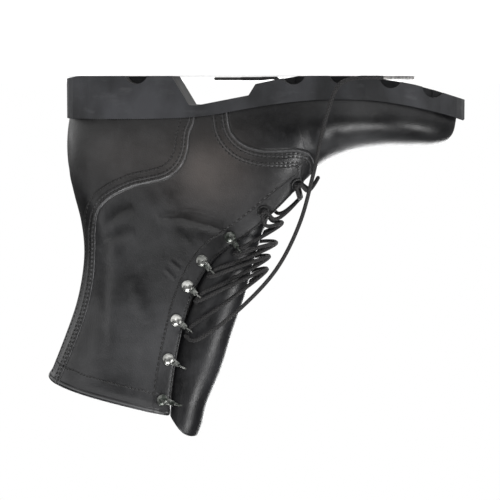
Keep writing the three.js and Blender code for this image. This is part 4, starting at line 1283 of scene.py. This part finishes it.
def strand_points(side):
    """One lace's way up from the lowest eyelet, from side to side."""
    points = []
    for k in range(len(LACED_ROWS)):
        here = side if k % 2 == 0 else -side
        place = station(k, here)
        reach = 3.4 if place["ring"] else 1.6
        points += [place["at"] + place["upward"] * d for d in (-reach, 0, reach)]
        if k == len(LACED_ROWS) - 1:
            break
        middle = crossing_middle(k + 1)
        points += crossing_end(k, here, middle, 1)
        points.append(middle)
        points += crossing_end(k + 1, -here, middle, -1)
    return points


def make_crossings():
    """The laces of the throat, as one piece: a bar at the bottom and two strands that cross on the way up."""
    middle = crossing_middle(0)
    bottom = [station(0, -1)["at"]] + crossing_end(0, -1, middle, -1) + [middle]
    bottom += crossing_end(0, 1, middle, -1)
    strands = Many()
    for route in (bottom + strand_points(1), strand_points(-1)):
        path = end_refined(curve_points(route, 8), LACE_DIAMETER / 2)
        points, faces, along, round_it = tube_mesh(path, LACE_DIAMETER / 2, 12)
        strands.add(points, faces, along=along, around=round_it)
    piece = strands.make("laced_strands", CORD_LOOKS)
    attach(piece, "root")
    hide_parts("lace_crossings")


make_crossings()

# Rings and eyelets


def around(count):
    """Angles all the way round, in radians."""
    return [2 * math.pi * k / count for k in range(count)]


def revolve(profile, sides=32):
    """A round piece from points of radius and height."""
    points = [[r * math.cos(a), r * math.sin(a), z] for r, z in profile for a in around(sides)]
    return np.array(points), ring_faces(len(profile), sides)


def torus(radius, wire, sides=32, round_sides=12):
    """A wire ring that stands up along x and z."""
    points = []
    for a in around(sides):
        for b in around(round_sides):
            reach = radius + wire * math.cos(b)
            points.append([reach * math.cos(a), wire * math.sin(b), reach * math.sin(a)])
    return np.array(points), ring_faces(sides, round_sides, closed=True)


def on_facing(points, place):
    """Local points, with z the normal and x the way to the throat, as points of the boot."""
    y = np.cross(place["normal"], place["inward"])
    basis = np.vstack([place["inward"], y, place["normal"]])
    return points @ basis + place["point"]


def strap_mesh(length, width, low, thickness):
    """A flat strap along x with rounded long edges and a rounded end."""
    section = []
    for a in around(16):
        c, s = math.cos(a), math.sin(a)
        edge = math.copysign(abs(c) ** 0.35, c) * width / 2
        face = math.copysign(abs(s) ** 0.7, s) * thickness / 2
        section.append([edge, face])
    points = []
    stops = np.linspace(-1.5, length, 12)
    for x in stops:
        narrow = 1 - 0.25 * max(0.0, (x - length * 0.5) / (length * 0.5))
        rise = 1.3 * max(0.0, (x - length * 0.55) / (length * 0.45)) ** 2
        for edge, face in section:
            points.append([x, edge * narrow, low + thickness / 2 + face + rise])
    return np.array(points), ring_faces(len(stops), len(section))


RING_TONES = [0.95, 0.6, 0.15, 0.12, 0.4, 0.92]  # from clean metal at 0 to darkened at 1, upwards


def make_rings():
    """Domed studs, each with a strap that holds a wire ring past the facing's edge."""
    top = QUARTER_STEP + CLEARANCE
    dome = [[4.5, top + 0.3], [4.5, top + 0.75], [4.25, top + 1.0]]
    dome += [[4.2 * math.cos(a), top + 0.9 + 1.6 * math.sin(a)] for a in np.linspace(0.05, math.pi / 2, 10)]
    washer = [[0.0, -1.0], [3.4, -1.0], [3.6, -0.6], [3.6, -0.3], [1.5, -0.3]]
    profile = [[radius, height - WALL] for radius, height in washer] + [[1.5, top + 0.3]] + dome
    stud, stud_faces = revolve(profile)
    strap, strap_faces = strap_mesh(RING_CENTRE - RING_RADIUS + 0.4, 5.0, top + 0.05, 0.9)
    ring, wire_faces = torus(RING_RADIUS, RING_WIRE)
    ring = ring + np.array([RING_CENTRE, 0, top + RING_RADIUS * 0.45])
    rings = Many()
    for side in (1, -1):
        for t, tone in zip(RING_ROWS, RING_TONES):
            place = facing_frame(t, side, EDGE_TO_RIVET)
            rings.add(on_facing(stud, place), stud_faces, tone=tone)
            rings.add(on_facing(strap, place), strap_faces, tone=max(tone, 0.75))
            rings.add(on_facing(ring, place), wire_faces, tone=max(tone, 0.75))
    piece = rings.make("lacing_rings", METAL_LOOKS)
    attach(piece, "root")
    names = [f"lace_ring_{side}_{k}" for side in ("lateral", "medial") for k in range(1, 7)]
    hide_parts(*names)


def make_eyelets():
    """Flanged rings through the facing, rolled over on top."""
    top = QUARTER_STEP + CLEARANCE
    bottom = -WALL - CLEARANCE
    profile = [[EYELET_HOLE, bottom - 0.9], [4.2, bottom - 0.9], [4.2, bottom], [3.2, bottom], [3.2, top]]
    profile += curve_points([[4.6, top], [4.45, top + 0.55], [3.6, top + 0.95], [2.8, top + 0.5]], 4).tolist()
    profile += [[EYELET_HOLE, top], [EYELET_HOLE, bottom - 0.9]]
    eyelet, faces = revolve(profile)
    eyelets = Many()
    for side in (1, -1):
        for t in EYELET_ROWS:
            eyelets.add(on_facing(eyelet, facing_frame(t, side, EDGE_TO_RIVET)), faces)
    piece = eyelets.make("eyelet_rings", BLACK_LOOKS)
    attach(piece, "root")
    names = [f"eyelet_{side}_{k}" for side in ("lateral", "medial") for k in (1, 2)]
    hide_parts(*names)


make_rings()
make_eyelets()

# Stitches, cut edges and the sole's ridged line

THREAD_RADIUS = 0.62
THREAD_LIFT = 0.1
STITCH_PITCH = 3.3
EDGE_RADIUS = 0.42
EDGE_PITCH = 1.2
RIDGE_PITCH = 1.7


def caught(tree, x, z, side):
    """Place and normal on the leather that shows at x, z from one side, or None."""
    start = Vector(to_row([x, side * 200.0, z]))
    place, normal, _, _ = tree.ray_cast(start, Vector((0.0, -float(side), 0.0)))
    if place is None:
        return None
    build = np.array(place) * 1000 + np.array([ORIGIN_X, 0, 0])
    return build, np.array(normal)


CAPSULE_STOPS = [(0.0, 0.25), (0.12, 0.8), (0.5, 1.0), (0.88, 0.8), (1.0, 0.25)]  # share of length and radius
CAPSULE_SIDES = 6
CAPSULE_FACES = ring_faces(len(CAPSULE_STOPS), CAPSULE_SIDES)


def capsule(start, end, normal, radius, flat=0.6):
    """A short rounded thread between two points that lies on the leather."""
    along = end - start
    length = np.linalg.norm(along)
    along = along / length
    across = unit(np.cross(normal, along))
    up = np.cross(along, across)
    points = []
    for f, share in CAPSULE_STOPS:
        for a in around(CAPSULE_SIDES):
            lift = up * math.sin(a) * flat * radius * share + across * math.cos(a) * radius * share
            points.append(start + along * f * length + lift)
    return points, CAPSULE_FACES


def shifted(line, distance):
    """A side-view line moved to its left by a distance."""
    tangent = unit(np.gradient(line, axis=0))
    return line + np.column_stack([-tangent[:, 1], tangent[:, 0]]) * distance


def evenly(line, pitch, start=0.0, end=0.0):
    """Points along a line at an even pitch."""
    length = run_lengths(line)
    at = np.arange(start, length[-1] - end, pitch)
    return np.column_stack([np.interp(at, length, line[:, k]) for k in range(line.shape[1])])


def on_side(tree, line, side):
    """The points of a side-view line on the leather, with normals; None where it leaves the boot."""
    return [caught(tree, x, z, side) for x, z in line]


def add_stitches(many, hits, cover=0.62):
    """A stitch between each pair of neighbouring points, covering a share of the pitch."""
    for first, second in zip(hits[:-1], hits[1:]):
        if first is None or second is None:
            continue
        if np.linalg.norm(second[0] - first[0]) > 6:
            continue
        normal = unit(first[1] + second[1])
        step = (second[0] - first[0]) * (1 - cover) / 2
        lift = normal * THREAD_LIFT
        many.add(*capsule(first[0] + step + lift, second[0] - step + lift, normal, THREAD_RADIUS))


def add_edge(many, hits):
    """A rounded cut edge through the points, in short pieces that overlap a little."""
    for first, second in zip(hits[:-1], hits[1:]):
        if first is None or second is None:
            continue
        if np.linalg.norm(second[0] - first[0]) > 5:
            continue
        step = (second[0] - first[0]) * -0.06
        many.add(*capsule(first[0] + step, second[0] - step, unit(first[1] + second[1]), EDGE_RADIUS, 0.8))


def facing_line(side, distance, low, high, count):
    """Points with normals at a distance from the facing's edge, between two sections."""
    hits = []
    for t in np.linspace(low, high, count):
        place = facing_frame(t, side, distance)
        hits.append((place["point"] + place["normal"] * QUARTER_STEP, place["normal"]))
    return hits


def surface_line(side, collar_distance, low_share, high_share, count):
    """Points with normals at a distance below the collar, between two shares of the way back."""
    grid = BUILD[side]
    columns = grid["outer"].shape[1]
    hits = []
    for share in np.linspace(low_share, high_share, count):
        place = share * (columns - 1)
        j = min(int(place), columns - 2)
        f = place - j
        i = int(np.argmin(np.abs(grid["collar"][:, j] - collar_distance)))
        point = grid["outer"][i, j] * (1 - f) + grid["outer"][i, j + 1] * f
        hits.append((point, grid["shading"][i, j]))
    return hits


def make_seams():
    """The rows of thread on the upper and the cut edges of its quarters and counter, the edges in a light grey
    that is a painted highlight.
    """
    thread = Many()
    edges = Many()
    for side in (1, -1):
        mesh = UPPER[side].data
        points = [tuple(v.co) for v in mesh.vertices]
        faces = [tuple(p.vertices) for p in mesh.polygons]
        tree = BVHTree.FromPolygons(points, faces)
        for seam, distances in ((QUARTER_LINE, QUARTER_STITCHES), (COUNTER_LINE, COUNTER_STITCHES)):
            for distance in distances:
                line = evenly(shifted(seam, distance), STITCH_PITCH, 4.0, 3.0)
                add_stitches(thread, on_side(tree, line, side))
        for seam in (QUARTER_LINE, COUNTER_LINE):
            add_edge(edges, on_side(tree, evenly(shifted(seam, 0.35), EDGE_PITCH, 3.0, 0.0), side))
        add_stitches(thread, facing_line(side, FACING_EDGE_STITCHES, 8.6, 24.7, 70), 0.6)
        add_stitches(thread, facing_line(side, FACING_STITCHES, 9.6, 24.4, 66))
        add_stitches(thread, surface_line(side, COLLAR_STITCHES, 0.13, 0.94, 36))
    piece = thread.make("stitching", THREAD_LOOKS)
    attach(piece, "root")
    piece = edges.make("cut_edges", EDGE_HIGHLIGHT_LOOKS)
    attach(piece, "root")


make_seams()


def make_sole_ridges():
    """The fine ridged line along the top edge of the sole's wall."""
    many = Many()
    for side in (1, -1):
        x = np.linspace(0.4, SOLE_LENGTH - 0.4, 900)
        line = np.column_stack([x, side_y(x, side, 0.5), top_edge_z(x)])
        line = evenly(line, RIDGE_PITCH)
        tangent = unit(np.gradient(line, axis=0))
        for point, along in zip(line, tangent):
            outward = unit(np.cross(along, [0, 0, 1]) * -side)
            start = point + outward * 0.3 - np.array([0, 0, 1.3]) - along * 0.3
            end = point - outward * 0.9 + np.array([0, 0, 0.25]) + along * 0.3
            many.add(*capsule(start, end, unit(outward + np.array([0, 0, 0.6])), 0.5, 0.9))
    piece = many.make("sole_edge_ridges", RUBBER_LOOKS)
    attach(piece, "root")


make_sole_ridges()


def dress(node, looks):
    """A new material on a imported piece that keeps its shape."""
    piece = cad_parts[node]
    for slot in piece.material_slots:
        slot.material = looks


dress("outsole", RUBBER_LOOKS)
dress("insole", BOARD_LOOKS)
